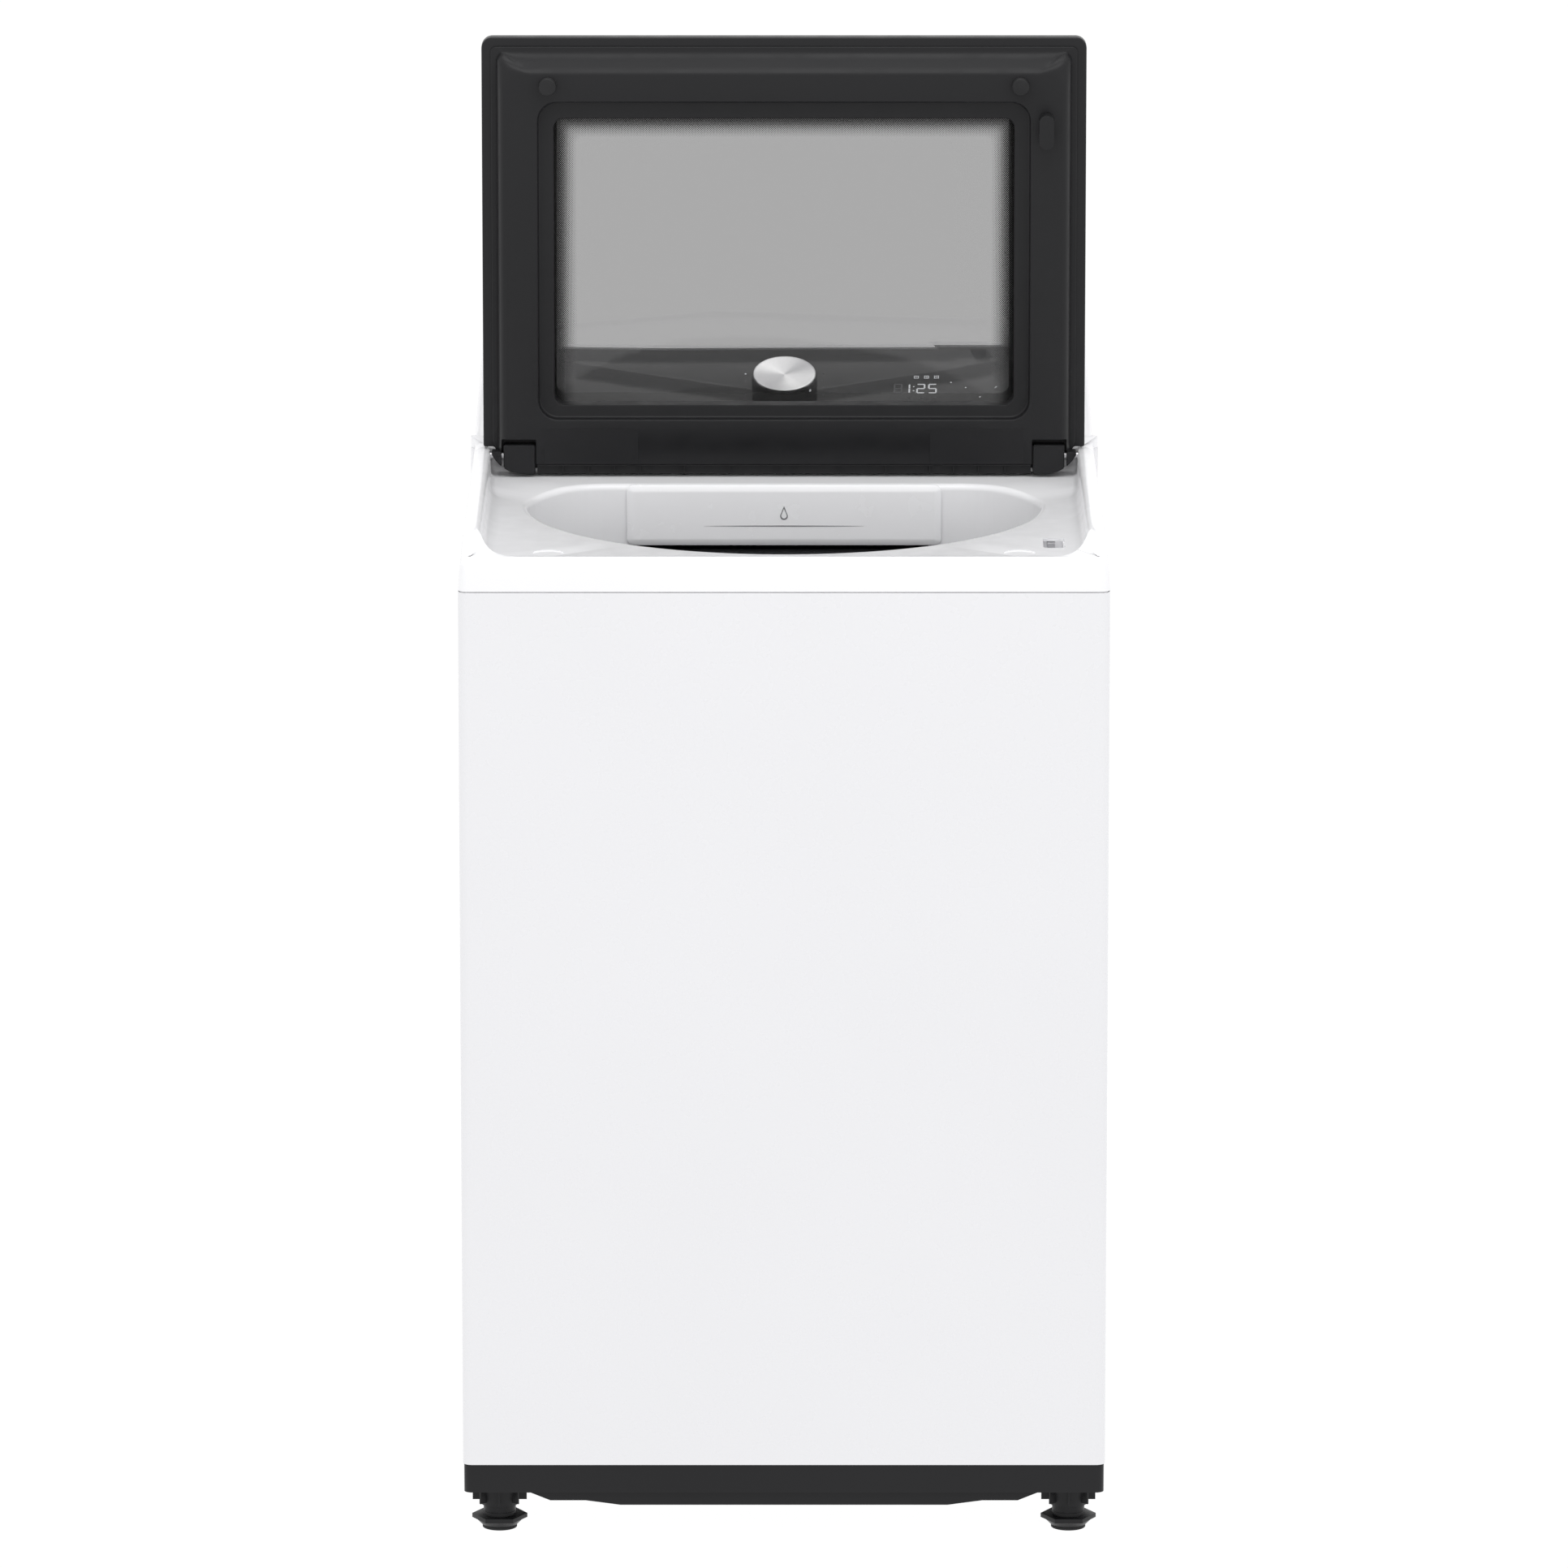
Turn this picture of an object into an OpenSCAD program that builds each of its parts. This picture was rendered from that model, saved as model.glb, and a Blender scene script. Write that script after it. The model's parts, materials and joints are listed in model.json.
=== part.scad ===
// Top load washing machine: white wrap cabinet on a black base with four levelling feet,
// a white top cover with a deep deck, a hinged lid with a window, a sloping rear console,
// a hung tub with a direct drive, a detergent drawer and a drain pump.
// Origin on the floor at the middle of the body, front towards -Y, the lid drawn open.

/* [Overall] */
// Width of the cabinet
body_w = 686; // [640:1:760]
// Depth from the cabinet front to the back of the console
body_d = 721; // [680:1:860]
// Height of the joint between the cabinet and the top cover
cabinet_h = 1032; // [900:1:1240]

/* [Cabinet and base] */
// Thickness of the cabinet and rear panel sheet
sheet_t = 1; // [0.8:0.1:1.5]
// Radius of the cabinet's vertical corners
corner_r = 10; // [6:1:16]
// Height of the cabinet's lower edge
base_top = 82; // [70:1:100]
// Height of the base frame's outer wall
base_skirt = 31; // [24:1:40]
// Wall of the base frame
base_t = 4; // [3:0.5:6]

/* [Feet] */
// Distance of a foot's axis from the side of the cabinet
foot_in_x = 38; // [34:1:60]
// Distance of a foot's axis from the front or back of the cabinet
foot_in_y = 50; // [40:1:80]
// Radius of the foot's threaded stem
stem_r = 6; // [5:0.5:8]
// Radius across the corners of the foot's hexagonal collar
foot_hex_r = 29.6; // [24:0.2:32]
// Radius of the rubber pad
pad_r = 18.5; // [14:0.5:24]
// How far a foot screws out from where it is drawn
foot_travel = 12; // [6:1:15]

/* [Top cover] */
// Wall of the top cover
cover_t = 3; // [2.5:0.5:4]
// Height of the deck floor over the joint
deck_up = 26; // [20:1:40]
// Height of the front lip over the joint
lip_up = 34; // [28:1:44]
// Height of the side rails over the joint
rail_up = 58; // [50:1:70]
// Height of the console's upper edge over the joint
console_up = 149; // [130:1:170]
// Slope of the console panel in degrees
console_slope = 28.5; // [20:0.5:40]
// Width of each side rail at the top
rail_w = 16; // [12:1:20]
// Lean of the cover's sides from the joint to the console's top
cover_lean = 10; // [4:1:14]

/* [Lid] */
// Thickness of the lid's outer frame
lid_t = 18; // [14:1:24]
// Depth of the inner frame below the outer frame
lid_drop = 22; // [18:1:24]
// Gap between the lid's side and the cover's side
lid_side = 15; // [12:1:22]
// Distance of the lid's front edge from the cabinet front
lid_front = 36; // [28:1:44]
// Distance of the lid hinge from the back of the console
hinge_back = 226; // [220:1:240]
// Radius of the hinge pin
hinge_r = 4; // [3:0.5:4.5]
// Thickness of the window glass
glass_t = 3.8; // [3:0.2:5]

/* [Tub and drive] */
// Free space between the tub and the cabinet sides
tub_swing = 38; // [34:1:50]
// Wall of the tub
tub_t = 4; // [3:0.5:5]
// Gap between the tub and the basket
basket_gap = 36; // [30:1:44]
// How far the hung tub moves up or down
tub_travel = 12; // [4:1:14]
// Radius of the solid drive shaft
shaft_r = 8.5; // [7:0.5:10]
// Outer radius of the hollow spin tube
spin_r = 15; // [13:0.5:17]
// Running clearance of shafts and pins, on the radius
run_gap = 0.05; // [0.02:0.01:0.08]
// Outer radius of the motor's rotor
rotor_r = 130; // [110:1:140]
// Rows of holes in the basket wall
hole_rows = 4; // [3:1:6]
// Holes in each row of the basket wall
hole_count = 12; // [8:1:16]

/* [Controls and water] */
// Radius of the control knob
knob_r = 35; // [28:1:40]
// Height of the control knob
knob_h = 26; // [18:1:30]
// Width of the detergent drawer's front
drawer_w = 342; // [280:2:342]
// How far the drawer pulls out
drawer_travel = 140; // [100:1:145]
// Outer radius of the water inlet threads
inlet_r = 13.2; // [12:0.1:14]
// Outer radius of the drain spigot
drain_r = 14; // [12:0.5:16]

/* [Hidden] */
$fn = 64;

WHITE = [0.95, 0.95, 0.96];
BLACK = [0.15, 0.15, 0.16];
GREY = [0.6, 0.6, 0.62];
STEEL = [0.72, 0.73, 0.75];
RUBBER = [0.08, 0.08, 0.08];
GREEN = [0.1, 0.35, 0.2];

// Body planes
half_w = body_w / 2;
front_y = -body_d / 2;
back_y = body_d / 2;
eps = 0.01;
lip_gap = 0.3;

// Cabinet: its back stands in from the console's back, so the screw heads stay inside
back_step = 4;
cab_d = body_d - back_step;
cab_mid_y = -back_step / 2;
flange_w = 30;
panel_y = back_y - back_step;

// Base and feet
base_in = 1.2;
base_bottom = base_top - base_skirt;
web_z = base_bottom + 9;
web_t = 4;
boss_z = 26.2;
boss_low_r = 20.1;
boss_top_r = 26;
boss_h = web_z + web_t - boss_z;
nut_z = 18.8;
nut_h = boss_z - nut_z;
neck_r = 17.3;
pad_h = 3;
cone_top_z = 10.2;
hex_top_z = 14.7;
neck_top_z = nut_z - lip_gap;
stem_top_z = web_z + web_t + 16;
foot_x = half_w - foot_in_x;
foot_y = body_d / 2 - foot_in_y;
rear_foot_y = foot_y - back_step;

// Top cover heights
deck_z = cabinet_h + deck_up;
lip_z = cabinet_h + lip_up;
rail_z = cabinet_h + rail_up;
console_z = cabinet_h + console_up;

// Console: panel plane from its lower edge to its upper edge
panel_top_y = back_y - 31;
panel_run = (console_up - rail_up - 9) / tan(console_slope);
panel_low_y = panel_top_y - panel_run;
panel_len = panel_run / cos(console_slope);
panel_t = 4;
panel_edge = 8;
rear_cover_d = 18;
rear_cover_y = back_y - rear_cover_d;
rear_cover_t = 2.5;
head_t = 1.6;

// Deck well
well_hw = half_w - 7 - rail_w;
well_front_y = front_y + 16;
well_back_y = back_y - 192;
well_front_r = 40;
well_back_r = 12;
lip_dip_r = 36;

// Lid, drawn closed and then turned open about the hinge
hinge_y = back_y - hinge_back;
lid_z = rail_z + 3;
lid_top_z = lid_z + lid_t;
hinge_z = rail_z - 5;
lid_hw = half_w - lid_side;
lid_front_y = front_y + lid_front;
lid_step_y = hinge_y - 8;
lid_back_y = hinge_y + 16;
lid_rear_hw = well_hw - 2;
lid_rear_r = 36;
lid_front_r = 12;
face_z = lid_z - lid_drop;
face_hw = well_hw - 8;
face_front_y = lid_front_y + 14;
face_back_y = hinge_y + 9;
face_t = 3;
flange_t = 2.5;
scoop_run = 25;
glass_in = 8;
ledge_in = 14;
glass_z = lid_top_z - glass_t - 0.2;
window_hw = well_hw - 70;
window_front_y = lid_front_y + 87;
window_back_y = hinge_y - 56;
recess_edge = 17;
recess_front_edge = 19;
recess_back_edge = 14;
recess_depth = 12;
pocket_x0 = well_hw - 50;
pocket_x1 = well_hw - 12;
pocket_front_y = hinge_y - 20;
arm_boss_r = 11;
bumper_x = lid_hw - 72;
bumper_y = lid_front_y + 49.4;
bumper_r = 9.3;
seat_x = bumper_x - 7;
seat_r = 17;
seat_depth = 1;
strike_x = lid_hw - 44;
strike_y = lid_front_y + 97;
strike_w = 16;
strike_l = 37;
strike_z = deck_z - 12;
slot_w = 23;
slot_l = 53;
slot_y = strike_y + 5;

// Tub opening and drawer wall in the deck
tub_or = min(body_w, body_d) / 2 - sheet_t - tub_swing;
open_r = tub_or - 27;
open_back_y = hinge_y - 54;
open_back_r = 90;
funnel_z = cabinet_h - 47;
drawer_front_t = 5;
drawer_z0 = funnel_z + 11;
drawer_z1 = deck_z + 5;
tray_hw = drawer_w / 2 - 12;
tray_l = 156;
tray_z = drawer_z0 + 5;
tray_h = 44;
tray_t = 2.5;
housing_hw = tray_hw + 6;
housing_z = funnel_z + 3;
housing_y = open_back_y + cover_t;
housing_l = tray_l + 12;

// Tub and everything hung with it
tub_ir = tub_or - tub_t;
tub_z = 262;
tub_floor = 8;
tub_top_z = cabinet_h - 80;
ring_t = 4;
ring_ir = tub_ir - 50;
basket_or = tub_or - basket_gap - 4;
basket_t = 1;
basket_z = 300;
basket_top_z = tub_top_z - 47;
basket_floor_z = basket_z + 18;
balance_h = 38;
balance_w = 28;
housing_flange_r = 125;
housing_hub_r = 45;
hub_z = 185;
hub_top_z = 282;
bearing_r = 31;
bearing_h = 16;
upper_bearing_z = hub_top_z - 6 - bearing_h;
lower_bearing_z = 200;
rotor_z = 152;
rotor_h = 68;
magnet_t = 6;
air_gap = 6;
stator_z = hub_z;
stator_h = 32;
slot_teeth = 18;
shaft_z = 146;
impeller_z = basket_floor_z + 8;
impeller_r = basket_or - 36;

// Suspension
rod_r = 4;
rod_x = half_w - 62;
rod_y = body_d / 2 - 70;
rod_low_z = 222;
gusset_z = cabinet_h - 33;
gusset_t = 2;
hanger_h = 12;
hanger_r = 16;
cup_r = 20;
cup_z = 226;
cup_h = 6;
lug_z = 285;
lug_h = 20;
lug_w = 44;
spring_r = 16;
spring_wire = 3.5;
spring_turns = 7;

// Drain pump stands on the base, under the tub's outlet
pump_a = half_w - 193;
pump_b = -pump_a;
volute_z = 120;
volute_h = 30;
volute_r = 40;
pump_in_r = 18;
pump_in_top = 200;
sump_z = 236;
pipe_x = pump_a + 50;
pipe_z = volute_z + 15;
pocket_w = 84;
pocket_h = 70;
pocket_d = 30;

// Inlet valve at the back of the console
valve_x = 150;
valve_z = cabinet_h + 53;
port_gap = 70;
port_len = 13;
valve_pocket_w = port_gap + 56;
valve_pocket_h = 44;
gland_x = -250;
gland_z = cabinet_h + 28;
gland_r = 5.5;

// ---------- shared shapes ----------

// Rectangle with round corners, centred
module rounded_rect(w, d, r) {
    square([w - 2 * r, d], center = true);
    square([w, d - 2 * r], center = true);
    for (x = [-1, 1], y = [-1, 1])
        translate([x * (w / 2 - r), y * (d / 2 - r)]) circle(r);
}

// Prism with round corners between two heights
module rounded_prism(w, d, r, z0, z1) {
    translate([0, 0, z0]) linear_extrude(z1 - z0) rounded_rect(w, d, r);
}

// Rounded prism given by its corners in x and y
module corner_prism(x0, x1, y0, y1, r, z0, z1) {
    translate([(x0 + x1) / 2, (y0 + y1) / 2, 0]) rounded_prism(x1 - x0, y1 - y0, r, z0, z1);
}

// Box given by two opposite corners
module box(x0, x1, y0, y1, z0, z1) {
    translate([x0, y0, z0]) cube([x1 - x0, y1 - y0, z1 - z0]);
}

// Flat-ended ring
module ring(ro, ri, z0, z1) {
    translate([0, 0, z0]) difference() {
        cylinder(h = z1 - z0, r = ro);
        translate([0, 0, -1]) cylinder(h = z1 - z0 + 2, r = ri);
    }
}

// Profile drawn in y and z, run along x over a width
module along_x(w) {
    translate([-w / 2, 0, 0]) rotate([90, 0, 90]) linear_extrude(w) children();
}

// Profile drawn in x and z, run along y between two depths
module along_y(y0, y1) {
    translate([0, y1, 0]) rotate([90, 0, 0]) linear_extrude(y1 - y0) children();
}

module mirror_x() {
    children();
    mirror([1, 0, 0]) children();
}

// Places a lid part, drawn closed, at its open position
module open_lid() {
    translate([0, hinge_y, hinge_z]) rotate([-90, 0, 0]) translate([0, -hinge_y, -hinge_z]) children();
}

// Panel frame: origin at the panel's upper edge, y up the slope, z out of the panel
module on_panel() {
    translate([0, panel_top_y, console_z]) rotate([console_slope, 0, 0]) children();
}

function foot_place(i) = [(i % 2 == 0 ? -1 : 1) * foot_x, i < 2 ? -foot_y : rear_foot_y, 0];

module at_feet() {
    for (i = [0:3]) translate(foot_place(i)) children();
}

module at_rods() {
    for (x = [-1, 1], y = [-1, 1]) translate([x * rod_x, y * rod_y, 0]) children();
}

// ---------- cabinet and base ----------

module cabinet_plan(inset) {
    translate([0, cab_mid_y]) rounded_rect(body_w - 2 * inset, cab_d - 2 * inset, corner_r - inset);
}

// Front and sides are one bent sheet with rear return flanges and four rod gussets
module cabinet() color(WHITE) {
    gusset = 26;
    difference() {
        union() {
            translate([0, 0, base_top]) linear_extrude(cabinet_h - base_top) difference() {
                cabinet_plan(0);
                cabinet_plan(sheet_t);
            }
            intersection() {
                translate([0, 0, gusset_z]) linear_extrude(gusset_t) cabinet_plan(sheet_t / 2);
                for (x = [-1, 1], y = [-1, 1]) translate([x * (rod_x + 100 - gusset), y * (rod_y + 100 - gusset), 0])
                    translate([-100, -100, gusset_z - 1]) cube([200, 200, gusset_t + 2]);
            }
        }
        box(-half_w + flange_w, half_w - flange_w, panel_y - 2, back_y, base_top - 1, cabinet_h + 1);
        at_rods() translate([0, 0, gusset_z - 1]) cylinder(h = gusset_t + 2, r = rod_r + 2);
        panel_screw_places() rotate([90, 0, 0]) cylinder(h = 12, r = 2.1, center = true);
    }
}

module panel_screw_places() {
    for (x = [-1, 1], i = [0:3])
        translate([x * (half_w - 18), panel_y, base_top + 30 + i * (cabinet_h - base_top - 92) / 3]) children();
}

// Removable back with a deep pocket for the drain connection
module rear_panel() color(GREY) {
    x1 = half_w - 8;
    z0 = base_top + 6;
    wall = 1.5;
    difference() {
        union() {
            box(-x1, x1, panel_y, panel_y + sheet_t, z0, cabinet_h - 4);
            box(pipe_x - pocket_w / 2 - wall, pipe_x + pocket_w / 2 + wall, panel_y - pocket_d, panel_y + eps,
                pipe_z - pocket_h / 2 + 8 - wall, pipe_z + pocket_h / 2 + 8 + wall);
        }
        box(pipe_x - pocket_w / 2, pipe_x + pocket_w / 2, panel_y - pocket_d + wall, back_y,
            pipe_z - pocket_h / 2 + 8, pipe_z + pocket_h / 2 + 8);
        translate([pipe_x, panel_y, pipe_z]) rotate([90, 0, 0]) cylinder(h = 80, r = drain_r + 1, center = true);
        panel_screw_places() rotate([90, 0, 0]) cylinder(h = 12, r = 2.1, center = true);
    }
}

module base_plan(inset) {
    translate([0, cab_mid_y])
        rounded_rect(body_w - 2 * inset, cab_d - 2 * inset, max(corner_r - inset, 2));
}

// Ribs that stiffen a foot boss
module boss_ribs() {
    inner = stem_r + 6;
    for (i = [0:7]) rotate(i * 45)
        box(inner, boss_top_r + 3, -1, 1, boss_z + 4, web_z + web_t / 2);
}

// Outline of the belly under the front wall, in x and z
module belly_outline() {
    drop = base_bottom;
    wide = foot_x - 23;
    polygon([[-wide, web_z + 1], [-wide, drop + 2], [-wide + 32, drop - 11], [-wide + 70, drop - 11], [-wide + 107, drop - 16],
        [wide - 107, drop - 16], [wide - 70, drop - 11], [wide - 32, drop - 11], [wide, drop + 2], [wide, web_z + 1]]);
}

// Base: outer wall, floor web round an air opening, four foot bosses and a belly
module base_frame() color(BLACK) difference() {
    union() {
        translate([0, 0, base_bottom]) linear_extrude(base_skirt) difference() {
            base_plan(base_in);
            base_plan(base_in + base_t);
        }
        translate([0, 0, web_z]) linear_extrude(web_t) difference() {
            base_plan(base_in + base_t / 2);
            circle(rotor_r + 45);
        }
        translate([0, 0, base_top - eps]) linear_extrude(16) difference() {
            base_plan(sheet_t + lip_gap);
            base_plan(sheet_t + lip_gap + 3);
        }
        translate([0, 0, base_top - 2]) linear_extrude(2) difference() {
            base_plan(base_in + 1);
            base_plan(base_in + base_t + 1);
        }
        at_feet() {
            translate([0, 0, boss_z]) cylinder(h = boss_h, r1 = boss_low_r, r2 = boss_top_r);
            boss_ribs();
        }
        along_y(front_y + 10, front_y + 14) belly_outline();
        along_y(panel_y - 14, panel_y - 10) belly_outline();
        ring(rotor_r + 48, rotor_r + 45, web_z, web_z + 14);
    }
    at_feet() translate([0, 0, boss_z - 1]) cylinder(h = boss_h + 12, r = stem_r + 0.2);
}

// ---------- feet ----------

module foot_locknuts() color(STEEL) at_feet() ring(neck_r, stem_r + 0.2, nut_z, boss_z);

module foot_stem(i) color(BLACK) translate(foot_place(i)) {
    translate([0, 0, cone_top_z]) cylinder(h = stem_top_z - cone_top_z, r = stem_r);
    translate([0, 0, hex_top_z]) cylinder(h = neck_top_z - hex_top_z, r = neck_r);
    translate([0, 0, cone_top_z]) cylinder(h = hex_top_z - cone_top_z, r = foot_hex_r, $fn = 6);
    translate([0, 0, pad_h]) cylinder(h = cone_top_z - pad_h, r1 = pad_r, r2 = foot_hex_r * cos(30));
}

module foot_pad(i) color(RUBBER) translate(foot_place(i)) ring(pad_r, 5, 0, pad_h);

// ---------- top cover and console ----------

// Side view of the top cover, moved in by a wall
function cover_points(t) = [
    [front_y + t, cabinet_h - (t > 0 ? 1 : 0)],
    [front_y + t, cabinet_h + 23 - t / 2],
    [front_y + 5 + t, lip_z - 3 - t / 2],
    [front_y + 16 + t, lip_z + 3 - t],
    [front_y + 50 + t, rail_z - t],
    [panel_low_y - 12, rail_z - t],
    [panel_low_y + t, rail_z + 9 - t],
    [panel_top_y + t / 2, console_z - t],
    [rear_cover_y + (t > 0 ? 1 : 0), console_z + 1 - t],
    [rear_cover_y + (t > 0 ? 1 : 0), cabinet_h - (t > 0 ? 1 : 0)]
];

// Outer shape of the cover: side view, leaning sides and round corners together
module cover_body(t) intersection() {
    along_x(body_w) polygon(cover_points(t));
    along_y(front_y - 1, back_y + 1) polygon([
        [-half_w + t, cabinet_h - 2], [half_w - t, cabinet_h - 2],
        [half_w - t - cover_lean, console_z + 2], [-half_w + t + cover_lean, console_z + 2]]);
    translate([0, 0, cabinet_h - 2]) linear_extrude(console_up + 6)
        rounded_rect(body_w - 2 * t, body_d - 2 * t, corner_r - t / 2);
}

// Deck well: large front corners, small ones beside the hinge
module well_prism(t, z) {
    hw = well_hw + t;
    corner_prism(-hw, hw, well_front_y - t, 0, well_front_r + t, z, console_z + 40);
    corner_prism(-hw, hw, -2 * well_front_r, well_back_y + t, well_back_r + t, z, console_z + 40);
}

// Front lip is low between the rails
module lip_dip() along_y(front_y - 1, well_front_y + 44)
    translate([0, lip_z + 100]) rounded_rect(2 * well_hw, 200, lip_dip_r);

// Tub opening in plan: a circle cut off in front of the drawer wall
module open_plan(t) intersection() {
    circle(open_r + t);
    translate([0, (open_back_y - open_r) / 2])
        rounded_rect(2 * (open_r + t), open_back_y + open_r + 2 * t, open_back_r + t);
}

module top_cover() color(WHITE) difference() {
    union() {
        difference() {
            cover_body(0);
            difference() {
                cover_body(cover_t);
                well_prism(cover_t, deck_z - cover_t);
                translate([0, 0, -cover_t]) lip_dip();
            }
        }
        translate([0, 0, funnel_z]) linear_extrude(deck_z - funnel_z) difference() {
            open_plan(cover_t);
            open_plan(0);
        }
        on_panel() translate([-half_w + cover_lean + 4, -panel_len - 2, -panel_t - cover_t])
            cube([body_w - 2 * cover_lean - 8, panel_len, cover_t]);
        translate([0, 0, cabinet_h - 12]) linear_extrude(12 + eps) difference() {
            translate([0, cab_mid_y]) rounded_rect(body_w - 2.6, cab_d - 2.6, corner_r - 1.3);
            translate([0, cab_mid_y]) rounded_rect(body_w - 7, cab_d - 7, corner_r - 3.5);
            translate([-half_w, panel_y - 12]) square([body_w, 40]);
        }
    }
    well_prism(0, deck_z);
    lip_dip();
    translate([0, 0, funnel_z - 1]) linear_extrude(deck_z + 1 - funnel_z + 1) open_plan(0);
    box(-housing_hw + 3, housing_hw - 3, open_back_y - 1, open_back_y + cover_t + 1, funnel_z - 1, tray_z + tray_h + 3);
    corner_prism(strike_x - slot_w / 2, strike_x + slot_w / 2, slot_y - slot_l / 2, slot_y + slot_l / 2,
                 6, deck_z - cover_t - 1, deck_z + 1);
    mirror_x() translate([seat_x, bumper_y, deck_z - seat_depth]) cylinder(h = 3, r = seat_r);
    mirror_x() translate([well_hw - 3, hinge_y, hinge_z]) rotate([0, 90, 0]) cylinder(h = 10, r = hinge_r);
    on_panel() translate([-half_w + cover_lean + 22, -panel_len + panel_edge + 2, -panel_t * 4])
        cube([body_w - 2 * cover_lean - 44, panel_len - 2 * panel_edge, 40]);
    on_panel() translate([-half_w + cover_lean + 6, -panel_len - 3, -panel_t])
        cube([body_w - 2 * cover_lean - 12, panel_len + 2, 40]);
}

// White back of the console, with a pocket for the hoses and a seat for the cord gland
module console_rear_cover() color(WHITE) {
    hw = half_w - cover_lean;
    z0 = cabinet_h + 0.5;
    z1 = console_z + 1;
    t = rear_cover_t;
    px0 = valve_x - valve_pocket_w / 2;
    px1 = valve_x + valve_pocket_w / 2;
    pz0 = valve_z - valve_pocket_h / 2;
    pz1 = valve_z + valve_pocket_h / 2;
    difference() {
        union() {
            difference() {
                along_y(rear_cover_y, back_y) polygon([[-half_w + 1, z0], [half_w - 1, z0], [hw, z1 - 8],
                    [hw - 8, z1], [-hw + 8, z1], [-hw, z1 - 8]]);
                along_y(rear_cover_y - 1, back_y - t) polygon([[-half_w + 1 + t, z0 + t], [half_w - 1 - t, z0 + t],
                    [hw - t, z1 - 9], [hw - 9, z1 - t], [-hw + 9, z1 - t], [-hw + t, z1 - 9]]);
            }
            box(px0 - t, px1 + t, rear_cover_y, back_y - 1, pz0 - t, pz1 + t);
            translate([gland_x, back_y - 1, gland_z]) rotate([90, 0, 0]) cylinder(h = rear_cover_d - 2, r = 14);
        }
        box(px0, px1, rear_cover_y + t, back_y + 1, pz0, pz1);
        port_places() rotate([90, 0, 0]) cylinder(h = 40, r = inlet_r + 1, center = true);
        translate([gland_x, back_y, gland_z]) rotate([90, 0, 0]) cylinder(h = 60, r = 11, center = true);
        cover_screw_places() rotate([90, 0, 0]) cylinder(h = 12, r = 2.1, center = true);
        cover_screw_places() translate([0, rear_cover_t - head_t, 0]) rotate([-90, 0, 0]) cylinder(h = 5, r = 4.2);
        translate([0, back_y + 3.4, z1 + 3.4]) rotate([45, 0, 0]) cube([body_w, 14, 14], center = true);
    }
}

module port_places() {
    for (x = [-1, 1]) translate([valve_x + x * port_gap / 2, rear_cover_y, valve_z]) children();
}

module cover_screw_places() {
    for (x = [-1, 1], z = [14, 110])
        translate([x * (half_w - 26), back_y - rear_cover_t, cabinet_h + z]) children();
}

// Gloss black control panel on the slope
module control_panel() color(BLACK) on_panel() difference() {
    translate([-half_w + cover_lean + 6.3, -panel_len - 2.7, -panel_t])
        cube([body_w - 2 * cover_lean - 12.6, panel_len + 1.4, panel_t]);
    translate([0, -knob_base(), -panel_t - 1]) cylinder(h = panel_t + 2, r = 4);
}

// Distance of the knob's axis from the panel's upper edge, down the slope
function knob_base() = panel_len / 2 - 1;

module display_module() color(GREEN) on_panel()
    translate([90, -116, -panel_t - 10]) cube([170, 84, 10]);

module control_board() color(GREEN) on_panel() {
    translate([-200, -panel_len + 24, -40]) cube([260, 100, 1.6]);
    for (i = [0:3]) translate([-180 + i * 60, -panel_len + 40, -38.4]) cube([30, 24, 14]);
    for (x = [-190, 44], y = [30, 110]) translate([x, -panel_len + y, -38.4]) cylinder(h = 38.4 - panel_t, r = 4);
}

module knob_encoder() color(GREY) on_panel() translate([0, -knob_base(), 0])
    ring(14, 3 + run_gap, -panel_t - 16, -panel_t);

module knob_body() color(BLACK) on_panel() translate([0, -knob_base(), 0]) difference() {
    union() {
        translate([0, 0, 0.4]) cylinder(h = knob_h - 3.4, r = knob_r);
        translate([0, 0, -panel_t - 14]) cylinder(h = 18, r = 3);
    }
    translate([0, 0, -0.6]) ring(knob_r - 3, 8, 0, 12);
}

module knob_cap() color(STEEL) on_panel() translate([0, -knob_base(), knob_h - 3])
    cylinder(h = 3, r1 = knob_r - 1, r2 = knob_r - 2);

// ---------- lid ----------

// Lid in plan, moved in by a rim: square at the front, narrowed and round at the hinge end
module lid_plan(inset) {
    r1 = max(lid_front_r - inset, 2);
    r2 = lid_rear_r - inset;
    y0 = lid_front_y + inset;
    translate([0, (y0 + lid_step_y - inset) / 2])
        rounded_rect(2 * (lid_hw - inset), lid_step_y - inset - y0, r1);
    translate([-lid_hw + inset, (y0 + lid_step_y) / 2])
        square([2 * (lid_hw - inset), (lid_step_y - y0) / 2 - inset]);
    translate([0, (y0 + lid_back_y - inset) / 2])
        rounded_rect(2 * (lid_rear_hw - inset), lid_back_y - inset - y0, r2);
}

module lid_outer_frame() color(BLACK) open_lid() difference() {
    translate([0, 0, lid_z]) linear_extrude(lid_t) lid_plan(0);
    translate([0, 0, lid_z - 1]) linear_extrude(lid_t + 2) lid_plan(ledge_in);
    translate([0, 0, glass_z]) linear_extrude(lid_t) lid_plan(glass_in);
}

module window_prism(e_side, e_front, e_back, r, z0, z1)
    corner_prism(-window_hw - e_side, window_hw + e_side, window_front_y - e_front, window_back_y + e_back,
                 r, z0, z1);

// Wedge that makes the hand scoop along the inner frame's front
module scoop_wedge() along_x(body_w) polygon([
    [face_front_y - 40, face_z - 1], [face_front_y + scoop_run + 1, face_z - 1],
    [face_front_y + scoop_run, face_z], [face_front_y, lid_z - flange_t], [face_front_y - 40, lid_z - flange_t]]);

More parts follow.
